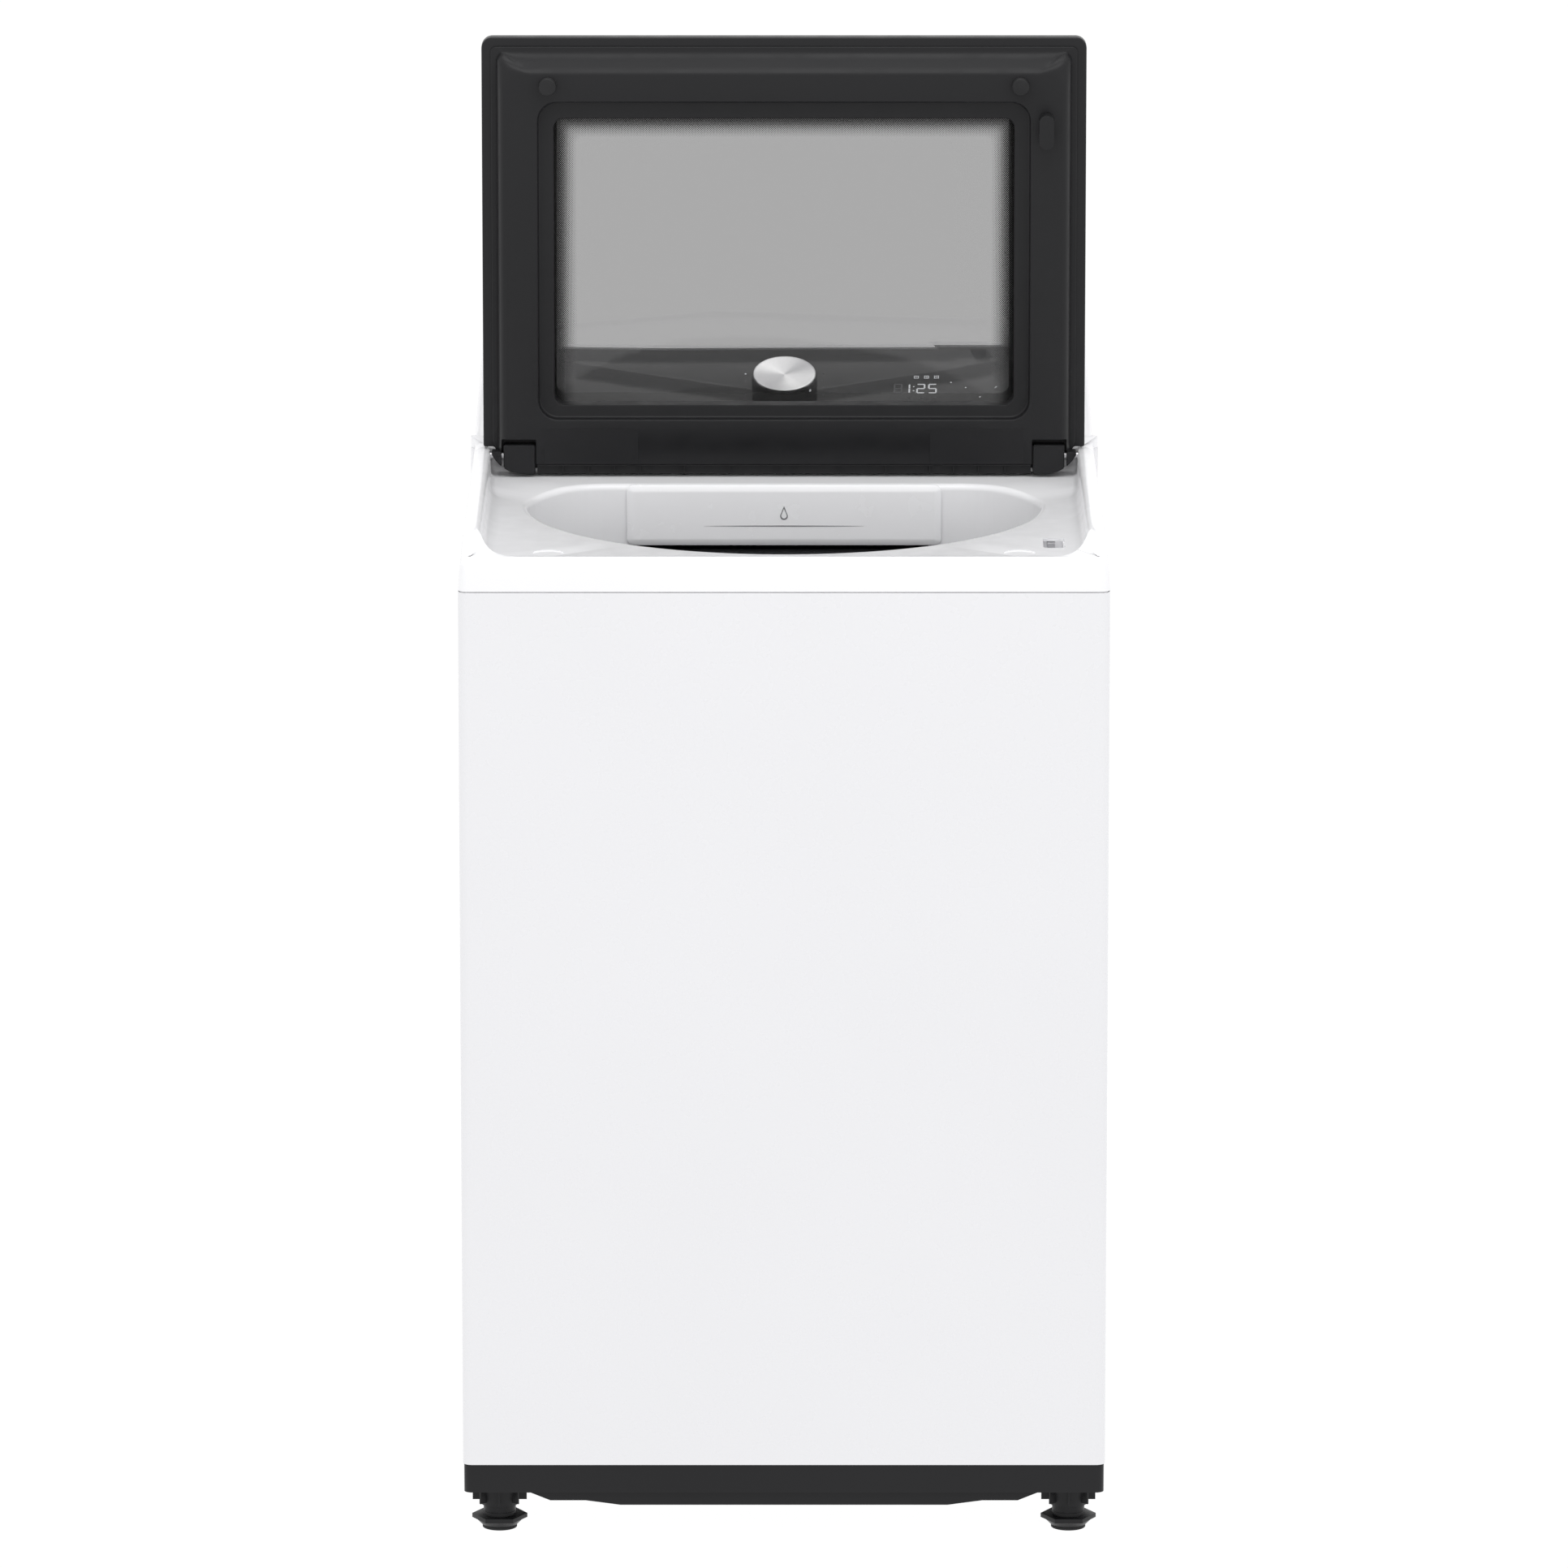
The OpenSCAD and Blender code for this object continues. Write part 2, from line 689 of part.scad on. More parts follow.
module lid_inner_frame() color(BLACK) open_lid() difference() {
    union() {
        translate([0, 0, lid_z - flange_t]) linear_extrude(flange_t) lid_plan(ledge_in - 4);
        corner_prism(-face_hw, face_hw, face_front_y, face_back_y, 24, face_z, lid_z);
        window_prism(3, 3, 3, 14, face_z + recess_depth, glass_z);
    }
    scoop_wedge();
    difference() {
        corner_prism(-face_hw + face_t, face_hw - face_t, face_front_y + scoop_run + face_t,
                     face_back_y - face_t, 21, face_z + face_t, lid_z + 1);
        window_prism(recess_edge + 3, recess_front_edge + 3, recess_back_edge + 3, 24,
                     face_z, face_z + recess_depth + 3);
        window_prism(3, 3, 3, 14, face_z, lid_z + 2);
        mirror_x() box(pocket_x0 - 3, pocket_x1 + 3, pocket_front_y - 3, face_back_y, face_z, lid_z);
    }
    window_prism(recess_edge, recess_front_edge, recess_back_edge, 21, face_z - 1, face_z + recess_depth);
    window_prism(0, 0, 0, 11, face_z - 1, glass_z + 1);
    mirror_x() box(pocket_x0, pocket_x1, pocket_front_y, lid_back_y + 5, face_z - 1, lid_z - flange_t);
    mirror_x() intersection() {
        translate([pocket_x0, hinge_y, hinge_z]) rotate([0, 90, 0]) cylinder(h = 60, r = arm_boss_r + lip_gap);
        box(pocket_x0, half_w, hinge_y - 20, hinge_y + 20, face_z - 1, lid_z - flange_t);
    }
}

module lid_glass() color([0.4, 0.42, 0.44, 0.5]) open_lid()
    translate([0, 0, glass_z]) linear_extrude(glass_t) lid_plan(glass_in + 0.4);

module lid_bumpers() color(RUBBER) open_lid() mirror_x()
    translate([bumper_x, bumper_y, deck_z - seat_depth + 0.4]) cylinder(h = face_z - deck_z + seat_depth - 0.4, r = bumper_r);

// Oblong strike with a notch for the lock bolt at its hinge end
module lid_strike() color(BLACK) open_lid() difference() {
    corner_prism(strike_x - strike_w / 2, strike_x + strike_w / 2, strike_y - strike_l / 2,
                 strike_y + strike_l / 2, strike_w / 2 - 0.1, strike_z, face_z);
    box(strike_x - 5, strike_x + 5, strike_y + strike_l / 2 - 14, strike_y + strike_l / 2 + 1,
        strike_z + 3, strike_z + 9);
}

// Arms that fill the pockets and turn on the hinge pins
module lid_hinge_arms() color(BLACK) open_lid() mirror_x() difference() {
    union() {
        box(pocket_x0 + 1, pocket_x1 - 1, pocket_front_y + 6, hinge_y + 14, face_z + 0.5, lid_z - flange_t);
        translate([pocket_x0 + 10, hinge_y, hinge_z]) rotate([0, 90, 0])
            cylinder(h = well_hw - pocket_x0 - 12, r = arm_boss_r);
    }
    translate([pocket_x0, hinge_y, hinge_z]) rotate([0, 90, 0]) cylinder(h = 80, r = hinge_r + run_gap);
    translate([pocket_x0, hinge_y - 20, lid_z - flange_t]) cube([80, 60, 30]);
}

// Pins with a mounting plate behind the well's side wall
module hinge_pins() color(STEEL) mirror_x() {
    translate([pocket_x0 + 8, hinge_y, hinge_z]) rotate([0, 90, 0])
        cylinder(h = well_hw + cover_t + 3 - pocket_x0 - 8, r = hinge_r);
    box(well_hw + cover_t, well_hw + cover_t + 3, hinge_y - 16, hinge_y + 16, hinge_z - 24, hinge_z - 3);
}

module lid_lock_housing() color(BLACK) {
    x0 = strike_x - slot_w / 2 - 4;
    x1 = strike_x + slot_w / 2 + 4;
    difference() {
        box(x0, x1, slot_y - slot_l / 2 - 6, slot_y + slot_l / 2 + 40, deck_z - 27, deck_z - cover_t);
        box(x0 + 3, x1 - 3, slot_y - slot_l / 2 - 2, slot_y + slot_l / 2 + 1, deck_z - 16, deck_z);
        box(strike_x - 4.3, strike_x + 4.3, slot_y, slot_y + slot_l / 2 + 36, strike_z + 3.7, strike_z + 8.3);
    }
}

module lid_lock_bolt() color(STEEL) {
    tip = strike_y + strike_l / 2 + 1.5;
    box(strike_x - 4, strike_x + 4, tip, tip + 34, strike_z + 4, strike_z + 8);
}

// ---------- dispenser and water inlet ----------

module dispenser_housing() color(GREY) {
    t = 2.5;
    y1 = housing_y + housing_l;
    z1 = deck_z - cover_t;
    difference() {
        box(-housing_hw, housing_hw, housing_y, y1, housing_z, z1);
        box(-housing_hw + t, housing_hw - t, housing_y - 1, y1 - t, housing_z + t, z1 - t);
        translate([valve_x, y1, z1 - 22]) rotate([90, 0, 0]) cylinder(h = 20, r = 7, center = true);
    }
}

module tray_cell(x0, x1) box(x0, x1, housing_y + tray_t, housing_y + tray_l - tray_t, tray_z + tray_t, tray_z + tray_h + 1);

tray_split = [-tray_hw, -30, 66, tray_hw];

// Tray with three compartments: main wash, softener and bleach
module drawer_tray() color(WHITE) difference() {
    box(-tray_hw, tray_hw, housing_y, housing_y + tray_l, tray_z, tray_z + tray_h);
    for (i = [0:2]) tray_cell(tray_split[i] + tray_t, tray_split[i + 1] - tray_t);
}

module drawer_front() color(WHITE) {
    y0 = open_back_y - lip_gap - drawer_front_t;
    translate([0, 0, (drawer_z0 + drawer_z1) / 2]) along_y(y0, y0 + drawer_front_t)
        rounded_rect(drawer_w, drawer_z1 - drawer_z0, 8);
    box(-tray_hw + 4, tray_hw - 4, y0 + drawer_front_t - eps, housing_y, tray_z + 2, tray_z + tray_h - 2);
}

// Caps over the siphon tubes in the softener and bleach compartments
module siphon_caps() color([0.3, 0.45, 0.75]) for (i = [1, 2]) {
    x = (tray_split[i] + tray_split[i + 1]) / 2;
    translate([x, housing_y + tray_l - 34, tray_z + tray_t]) cylinder(h = tray_h - 8, r = 9);
    box(x - 22, x + 22, housing_y + tray_l - 52, housing_y + tray_l - 16, tray_z + tray_h - 8, tray_z + tray_h - 4);
}

// Hot and cold valve: body, two coils, two threaded ports
module inlet_valve() color(GREY) {
    y1 = rear_cover_y;
    box(valve_x - 58, valve_x + 58, y1 - 34, y1, valve_z - 15, valve_z + 15);
    for (x = [-1, 1]) translate([valve_x + x * port_gap / 2, y1 - 17, valve_z + 15]) cylinder(h = 26, r = 13);
    difference() {
        port_places() translate([0, -eps, 0]) rotate([-90, 0, 0]) cylinder(h = port_len + rear_cover_t, r = inlet_r);
        port_places() rotate([-90, 0, 0]) translate([0, 0, 2]) cylinder(h = 20, r = 9);
    }
}

module inlet_hose() color(RUBBER) {
    y0 = housing_y + housing_l;
    z = deck_z - cover_t - 22;
    y1 = rear_cover_y - 17;
    translate([valve_x, y0, z]) rotate([-90, 0, 0]) cylinder(h = y1 - y0, r = 9);
    translate([valve_x, y1, z]) sphere(r = 9);
    translate([valve_x, y1, z]) cylinder(h = valve_z - 15 - z, r = 9);
}

// ---------- tub, basket and drive ----------

rod_angle = atan2(rod_y, rod_x);
rod_reach = sqrt(rod_x * rod_x + rod_y * rod_y);
rod_angles = [rod_angle, 180 - rod_angle, 180 + rod_angle, 360 - rod_angle];

module outer_tub() color(GREY) difference() {
    union() {
        translate([0, 0, tub_z]) cylinder(h = tub_top_z - tub_z, r = tub_or);
        for (a = rod_angles) rotate(a) box(tub_or - 8, rod_reach + 18, -lug_w / 2, lug_w / 2, lug_z, lug_z + lug_h);
        translate([0, 0, tub_top_z - 10]) cylinder(h = 10, r = tub_or + 8);
        translate([pump_a, pump_b, sump_z]) cylinder(h = tub_z - sump_z + 1, r = 20);
    }
    translate([0, 0, tub_z + tub_floor]) cylinder(h = tub_top_z, r = tub_ir);
    translate([0, 0, tub_z - 1]) cylinder(h = 20, r = housing_hub_r);
    translate([pump_a, pump_b, sump_z - 1]) cylinder(h = 60, r = 16);
    at_rods() translate([0, 0, lug_z - 1]) cylinder(h = lug_h + 2, r = rod_r + 2);
}

module tub_ring() color(GREY) {
    ring(tub_or + 8, ring_ir, tub_top_z, tub_top_z + ring_t);
    ring(ring_ir + 4, ring_ir, tub_top_z + ring_t - eps, tub_top_z + 14);
}

module basket_hole_places() {
    wall_h = basket_top_z - basket_floor_z;
    for (row = [1:hole_rows], i = [0:hole_count - 1])
        translate([0, 0, basket_floor_z + row * wall_h / (hole_rows + 1)])
            rotate([0, 90, (i + row / 2) * 360 / hole_count]) children();
}

module wash_basket() color(STEEL) difference() {
    union() {
        ring(basket_or, basket_or - basket_t, basket_z, basket_top_z);
        ring(basket_or - basket_t + eps, 60, basket_floor_z, basket_floor_z + 2);
    }
    basket_hole_places() translate([0, 0, basket_or - 10]) cylinder(h = 20, r = 4);
}

module balance_ring() color(GREY) ring(basket_or + 3, basket_or - balance_w, basket_top_z, basket_top_z + balance_h);

// Spider that carries the basket on the spin tube
module basket_hub() color(GREY) difference() {
    union() {
        translate([0, 0, basket_z]) cylinder(h = basket_floor_z - basket_z, r = 70);
        for (i = [0:5]) rotate(i * 60) box(0, basket_or - basket_t - 8, -16, 16, basket_z, basket_floor_z);
        ring(basket_or - basket_t, basket_or - basket_t - 12, basket_z, basket_floor_z);
    }
    translate([0, 0, basket_z - 1]) cylinder(h = 40, r = spin_r);
}

// Wash plate: dished disc, central dome and radial vanes
module impeller() color(GREY) difference() {
    union() {
        translate([0, 0, impeller_z]) cylinder(h = 8, r = impeller_r);
        translate([0, 0, impeller_z + 8]) cylinder(h = 26, r1 = 92, r2 = 46);
        for (i = [0:5]) rotate(i * 60) box(40, impeller_r - 12, -7, 7, impeller_z + 7, impeller_z + 22);
    }
    translate([0, 0, impeller_z - 1]) cylinder(h = 21, r = shaft_r);
}

// Curved cassettes that lie against the basket wall
module lint_filters() color(GREY) for (a = [0, 180]) rotate(a) difference() {
    ring(basket_or - basket_t, basket_or - basket_t - 12, basket_floor_z + 170, basket_floor_z + 330, $fn = 256);
    box(-basket_or - 5, basket_or + 5, -basket_or - 5, 20, basket_floor_z, basket_top_z);
    mirror_x() box(38, basket_or + 5, 10, basket_or + 5, basket_floor_z, basket_top_z);
    box(-30, 30, 30, basket_or - basket_t - 9, basket_floor_z + 180, basket_floor_z + 320);
}

module drive_shaft() color(STEEL) translate([0, 0, shaft_z]) cylinder(h = impeller_z + 19 - shaft_z, r = shaft_r);

module spin_tube() color(STEEL) ring(spin_r, shaft_r + run_gap, rotor_z + 12, basket_floor_z);

module bearing_housing() color([0.75, 0.76, 0.78]) difference() {
    union() {
        translate([0, 0, tub_z - 10]) cylinder(h = 10, r = housing_flange_r);
        translate([0, 0, hub_z + 5]) cylinder(h = hub_top_z - hub_z - 5, r = housing_hub_r - 0.1);
        for (i = [0:5]) rotate(i * 60) box(30, housing_flange_r - 8, -4, 4, hub_z + stator_h + 10, tub_z - 9);
    }
    translate([0, 0, hub_z - 1]) cylinder(h = 110, r = spin_r + 4);
    translate([0, 0, upper_bearing_z]) cylinder(h = 40, r = bearing_r);
    translate([0, 0, hub_z - 1]) cylinder(h = lower_bearing_z + bearing_h - hub_z + 1, r = bearing_r);
}

module bearings() color(STEEL) for (z = [lower_bearing_z, upper_bearing_z])
    ring(bearing_r, spin_r + run_gap, z, z + bearing_h);

module shaft_seal() color(RUBBER) ring(bearing_r, spin_r + run_gap, upper_bearing_z + bearing_h, hub_top_z);

module stator() color([0.7, 0.45, 0.25]) {
    outer = rotor_r - 6 - magnet_t - air_gap;
    ring(outer - 34, housing_hub_r - 0.1, stator_z + 8, stator_z + stator_h - 4);
    for (i = [0:slot_teeth - 1]) rotate(i * 360 / slot_teeth)
        box(outer - 36, outer, -6, 6, stator_z + 3, stator_z + stator_h);
}

module rotor() color(STEEL) difference() {
    union() {
        translate([0, 0, rotor_z]) cylinder(h = 4, r = rotor_r);
        ring(rotor_r, rotor_r - 6 - magnet_t, rotor_z + 3.9, rotor_z + rotor_h);
        translate([0, 0, rotor_z - 4]) cylinder(h = 10, r = 24);
    }
    translate([0, 0, rotor_z - 10]) cylinder(h = 40, r = shaft_r);
    for (i = [0:7]) rotate(i * 45) translate([75, 0, rotor_z - 1]) cylinder(h = 8, r = 12);
}

module clutch_coupler() color(BLACK) difference() {
    ring(34, spin_r, rotor_z + 14, rotor_z + 26);
    for (i = [0:11]) rotate(i * 30) box(31, 36, -2, 2, rotor_z + 13, rotor_z + 20);
}

// ---------- suspension ----------

module suspension_rods() color(STEEL) at_rods() {
    translate([0, 0, rod_low_z]) cylinder(h = gusset_z + gusset_t + 8 - rod_low_z, r = rod_r);
    translate([0, 0, gusset_z + gusset_t]) cylinder(h = hanger_h, r1 = hanger_r, r2 = hanger_r - 5);
}

// Springs stand on the cups and carry the tub's lugs
module suspension_springs() color(STEEL) at_rods() {
    z0 = cup_z + cup_h;
    pitch = (lug_z - z0 - spring_wire) / spring_turns;
    ring(spring_r - 1.2, spring_r - spring_wire, z0, lug_z);
    for (i = [0:spring_turns])
        ring(spring_r, spring_r - spring_wire + 0.5, z0 + i * pitch, z0 + i * pitch + spring_wire);
}

module suspension_cups() color(BLACK) at_rods() ring(cup_r, rod_r, cup_z, cup_z + cup_h);

// ---------- drain ----------

module drain_pump() color(BLACK) difference() {
    union() {
        translate([pump_a, pump_b, 0]) {
            translate([0, 0, volute_z]) cylinder(h = volute_h, r = volute_r);
            translate([0, 0, volute_z + volute_h - eps]) cylinder(h = pump_in_top - volute_z - volute_h, r = pump_in_r);
            translate([0, 0, web_z + web_t + 16]) cylinder(h = volute_z - web_z - web_t - 16 + eps, r = 30);
        }
        for (a = [45, 225]) translate([pump_a, pump_b, 0]) rotate(a)
            box(22, 46, -10, 10, web_z + web_t, volute_z + 4);
        translate([pipe_x, pump_b, pipe_z]) rotate([-90, 0, 0]) cylinder(h = 44, r = 12);
        box(pump_a + 20, pipe_x, pump_b - 6, pump_b + 6, pipe_z - 10, pipe_z + 10);
    }
    translate([pump_a, pump_b, volute_z + 4]) cylinder(h = volute_h - 8, r = volute_r - 5);
    translate([pump_a, pump_b, volute_z + 8]) cylinder(h = 90, r = pump_in_r - 4);
    translate([pump_a, pump_b, volute_z - 16]) cylinder(h = 30, r = 3 + run_gap);
    translate([pipe_x, pump_b + 4, pipe_z]) rotate([-90, 0, 0]) cylinder(h = 60, r = 8.5);
}

module pump_impeller() color(GREY) translate([pump_a, pump_b, 0]) {
    translate([0, 0, volute_z - 14]) cylinder(h = 24, r = 3);
    translate([0, 0, volute_z + 6]) cylinder(h = 3, r = 28);
    for (i = [0:4]) rotate(i * 72) box(4, 27, -1.2, 1.2, volute_z + 8.9, volute_z + 20);
}

// Bellows between the tub's outlet and the pump's inlet
module drain_bellows() color(RUBBER) translate([pump_a, pump_b, 0]) {
    step = (sump_z - pump_in_top) / 4;
    ring(20, 16.5, pump_in_top, sump_z);
    for (i = [0:3]) ring(25, 18, pump_in_top + (i + 0.25) * step, pump_in_top + (i + 0.75) * step);
}

// Pipe from the pump to the spigot in the rear pocket
module drain_outlet() color(RUBBER) translate([pipe_x, 0, pipe_z]) rotate([-90, 0, 0]) difference() {
    union() {
        translate([0, 0, pump_b + 44]) cylinder(h = panel_y - 5 - pump_b - 44, r = 12);
        translate([0, 0, panel_y - pocket_d - 6]) cylinder(h = pocket_d + 1, r = drain_r);
    }
    translate([0, 0, pump_b + 40]) cylinder(h = body_d, r = 8.5);
}

// ---------- small parts at the back ----------

module pressure_sensor() color(WHITE) translate([-250, rear_cover_y - 30, cabinet_h + 60]) {
    rotate([-90, 0, 0]) cylinder(h = 18, r = 24);
    translate([0, 18 - eps, 0]) rotate([-90, 0, 0]) cylinder(h = rear_cover_d - rear_cover_t + 12, r = 5);
    translate([0, 9, -36]) cylinder(h = 14, r = 4);
}

module cord_gland() color(BLACK) translate([gland_x, back_y - rear_cover_d + 2, gland_z]) rotate([-90, 0, 0])
    ring(11, gland_r, 0, rear_cover_d - 2);

module screw() {
    rotate([-90, 0, 0]) cylinder(h = 2.2, r = 4);
    rotate([90, 0, 0]) cylinder(h = 8, r = 2.1);
}

module case_screws() color(STEEL) {
    panel_screw_places() translate([0, sheet_t, 0]) screw();
    cover_screw_places() translate([0, rear_cover_t - head_t, 0]) rotate([-90, 0, 0]) cylinder(h = head_t, r = 4);
}

cabinet();
rear_panel();
base_frame();
foot_locknuts();
foot_stem(0);  // foot_front_left
foot_stem(1);  // foot_front_right
foot_stem(2);  // foot_rear_left
foot_stem(3);  // foot_rear_right
foot_pad(0);  // pad_front_left
foot_pad(1);  // pad_front_right
foot_pad(2);  // pad_rear_left
foot_pad(3);  // pad_rear_right
top_cover();
console_rear_cover();
control_panel();
display_module();
control_board();
knob_encoder();
knob_body();
knob_cap();
lid_outer_frame();
lid_inner_frame();
lid_glass();
lid_bumpers();
lid_strike();
lid_hinge_arms();
hinge_pins();
lid_lock_housing();
lid_lock_bolt();
dispenser_housing();
drawer_tray();
drawer_front();
siphon_caps();
inlet_valve();
inlet_hose();
outer_tub();
tub_ring();
wash_basket();
balance_ring();
basket_hub();
impeller();
lint_filters();
drive_shaft();
spin_tube();
bearing_housing();
bearings();
shaft_seal();
stator();
rotor();
clutch_coupler();
suspension_rods();
suspension_springs();
suspension_cups();
drain_pump();
pump_impeller();
drain_bellows();
drain_outlet();
pressure_sensor();
cord_gland();
case_screws();
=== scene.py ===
"""Top load washing machine: the visible surfaces and materials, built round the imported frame.

Mesh code works in millimetres in the frame's own axes and scales to metres when a mesh is made.
"""

import json
import math

import bmesh
import bpy
from mathutils import Matrix, Vector


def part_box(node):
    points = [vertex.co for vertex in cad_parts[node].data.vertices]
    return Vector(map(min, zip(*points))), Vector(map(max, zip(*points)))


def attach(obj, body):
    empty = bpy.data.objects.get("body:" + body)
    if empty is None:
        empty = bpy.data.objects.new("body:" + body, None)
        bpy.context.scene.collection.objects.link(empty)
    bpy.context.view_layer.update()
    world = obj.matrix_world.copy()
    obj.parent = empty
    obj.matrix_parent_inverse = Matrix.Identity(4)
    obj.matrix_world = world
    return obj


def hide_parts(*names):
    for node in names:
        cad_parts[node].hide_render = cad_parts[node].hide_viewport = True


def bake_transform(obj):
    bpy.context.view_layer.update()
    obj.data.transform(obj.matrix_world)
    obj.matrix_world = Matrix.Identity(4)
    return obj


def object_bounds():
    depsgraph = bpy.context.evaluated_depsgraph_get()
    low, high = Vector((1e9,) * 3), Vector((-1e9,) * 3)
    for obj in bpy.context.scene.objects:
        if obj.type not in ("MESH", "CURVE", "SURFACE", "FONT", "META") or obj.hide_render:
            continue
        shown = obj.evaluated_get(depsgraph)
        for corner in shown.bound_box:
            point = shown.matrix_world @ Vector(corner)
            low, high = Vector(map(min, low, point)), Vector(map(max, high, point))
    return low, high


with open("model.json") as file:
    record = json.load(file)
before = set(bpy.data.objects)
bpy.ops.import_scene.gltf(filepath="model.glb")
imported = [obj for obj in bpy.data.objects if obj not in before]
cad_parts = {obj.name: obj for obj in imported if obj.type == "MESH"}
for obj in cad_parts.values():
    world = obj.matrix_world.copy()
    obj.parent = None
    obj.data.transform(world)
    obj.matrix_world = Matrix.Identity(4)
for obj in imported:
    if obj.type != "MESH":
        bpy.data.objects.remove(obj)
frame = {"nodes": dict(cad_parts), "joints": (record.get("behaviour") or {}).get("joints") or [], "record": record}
cad_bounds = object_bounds()

MM = 0.001
NODES = frame["nodes"]
JOINTS = {joint["name"]: joint for joint in frame["joints"]}
SLOT_OF = {part["node"]: part["material_slot"] for part in frame["record"]["subparts"]}
BODY_OF = {
    node: body
    for body, members in frame["record"]["behaviour"]["bodies"].items()
    for node in members
}


def box_mm(node):
    low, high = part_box(node)
    return low / MM, high / MM


# ---------- driving sizes, read from the frame ----------

CABINET_LOW, CABINET_HIGH = box_mm("cabinet")
COVER_LOW, COVER_HIGH = box_mm("top_cover")
PANEL_LOW, PANEL_HIGH = box_mm("control_panel")
REAR_LOW, REAR_HIGH = box_mm("console_rear_cover")
HALF_W = CABINET_HIGH.x
FRONT_Y = CABINET_LOW.y
SEAM_Z = CABINET_HIGH.z
HINGE = Vector(JOINTS["lid_hinge"]["pos_m"]) / MM
KNOB = Vector(JOINTS["knob_turn"]["pos_m"]) / MM
PANEL_NORMAL = Vector(JOINTS["knob_turn"]["axis"]).normalized()
PANEL_DOWN = Vector((0, -PANEL_NORMAL.z, PANEL_NORMAL.y))


# ---------- mesh helpers ----------

WELD_MM = 0.001



def ease(t):
    """Smooth step from 0 to 1."""
    t = min(max(t, 0.0), 1.0)
    return t * t * (3 - 2 * t)


def shade(bm, angle):
    """Smooth faces, with hard edges where the surface turns by more than the angle in degrees."""
    for face in bm.faces:
        face.smooth = True
    for edge in bm.edges:
        edge.smooth = len(edge.link_faces) == 2 and edge.calc_face_angle(0) < math.radians(angle)


def finish_mesh(name, body, slot, bm, angle=35, material=None):
    """Makes the piece from a bmesh in millimetres, in its slot's material unless one is given."""
    bmesh.ops.scale(bm, vec=(MM, MM, MM), verts=bm.verts)
    bmesh.ops.recalc_face_normals(bm, faces=bm.faces)
    shade(bm, angle)
    mesh = bpy.data.meshes.new(name)
    bm.to_mesh(mesh)
    bm.free()
    piece = bpy.data.objects.new(name, mesh)
    bpy.context.scene.collection.objects.link(piece)
    mesh.materials.append(material or MATERIALS[slot])
    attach(piece, body)
    return piece


def skin(bm, rings):
    """Quads between successive closed rings of equal length."""
    made = [[bm.verts.new(point) for point in ring] for ring in rings]
    count = len(made[0])
    for low, high in zip(made, made[1:]):
        for i in range(count):
            j = (i + 1) % count
            bm.faces.new((low[i], low[j], high[j], high[i]))
    return made


def cap(bm, ring):
    bm.faces.new(ring)


def block(bm, low, high, place=None):
    """A box between two corners, moved by a matrix."""
    made = bmesh.ops.create_cube(bm, size=1)["verts"]
    middle = (Vector(low) + Vector(high)) / 2
    size = Vector(high) - Vector(low)
    for vert in made:
        vert.co = Vector((vert.co.x * size.x, vert.co.y * size.y, vert.co.z * size.z)) + middle
        if place:
            vert.co = place @ vert.co


# How a CAD mesh is welded and flattened before its edges are rounded
WELD_M = 1e-5
FLAT_ANGLE = 0.4
ROUND_FROM_ANGLE = 30
ROUND_SEGMENTS = 3
ROUNDED_SHADE_ANGLE = 40


def bevelled(node, width):
    """A copy of a CAD node with real rounded edges."""
    bm = bmesh.new()
    bm.from_mesh(NODES[node].data)
    bmesh.ops.remove_doubles(bm, verts=bm.verts, dist=WELD_M)
    bmesh.ops.dissolve_limit(bm, angle_limit=math.radians(FLAT_ANGLE), verts=bm.verts, edges=bm.edges)
    mesh = bpy.data.meshes.new(node + "_rounded")
    bm.to_mesh(mesh)
    bm.free()
    piece = bpy.data.objects.new(node + "_rounded", mesh)
    bpy.context.scene.collection.objects.link(piece)
    modifier = piece.modifiers.new("edges", "BEVEL")
    modifier.width = width * MM
    modifier.segments = ROUND_SEGMENTS
    modifier.limit_method = "ANGLE"
    modifier.angle_limit = math.radians(ROUND_FROM_ANGLE)
    modifier.use_clamp_overlap = True
    depsgraph = bpy.context.evaluated_depsgraph_get()
    rounded = bpy.data.meshes.new_from_object(piece.evaluated_get(depsgraph))
    piece.modifiers.clear()
    piece.data = rounded
    bm = bmesh.new()
    bm.from_mesh(rounded)
    shade(bm, ROUNDED_SHADE_ANGLE)
    bm.to_mesh(rounded)
    bm.free()
    rounded.materials.clear()
    rounded.materials.append(MATERIALS[SLOT_OF[node]])
    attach(piece, BODY_OF[node])
    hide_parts(node)


def carved(bm, tools):
    """The closed shape in a bmesh with the closed tool meshes cut out of it."""
    def as_object(source, name):
        mesh = bpy.data.meshes.new(name)
        bmesh.ops.recalc_face_normals(source, faces=source.faces)
        source.to_mesh(mesh)
        source.free()
        made = bpy.data.objects.new(name, mesh)
        bpy.context.scene.collection.objects.link(made)
        return made

    whole = as_object(bm, "carve_whole")
    cutters = [as_object(tool, "carve_tool") for tool in tools]
    for cutter in cutters:
        modifier = whole.modifiers.new("cut", "BOOLEAN")
        modifier.operation = "DIFFERENCE"
        modifier.solver = "MANIFOLD"
        modifier.object = cutter
    depsgraph = bpy.context.evaluated_depsgraph_get()
    result = bpy.data.meshes.new_from_object(whole.evaluated_get(depsgraph))
    left = bmesh.new()
    left.from_mesh(result)
    bpy.data.meshes.remove(result)
    for item in [whole] + cutters:
        bpy.data.objects.remove(item)
    return left


def prism(outline, low, high, place=None):
    """A closed prism over an outline in plan, as a new bmesh."""
    bm = bmesh.new()
    made = skin(bm, [[Vector((p.x, p.y, z)) for p in outline] for z in (low, high)])
    cap(bm, made[0])
    cap(bm, made[1])
    if place:
        bm.transform(place)
    return bm


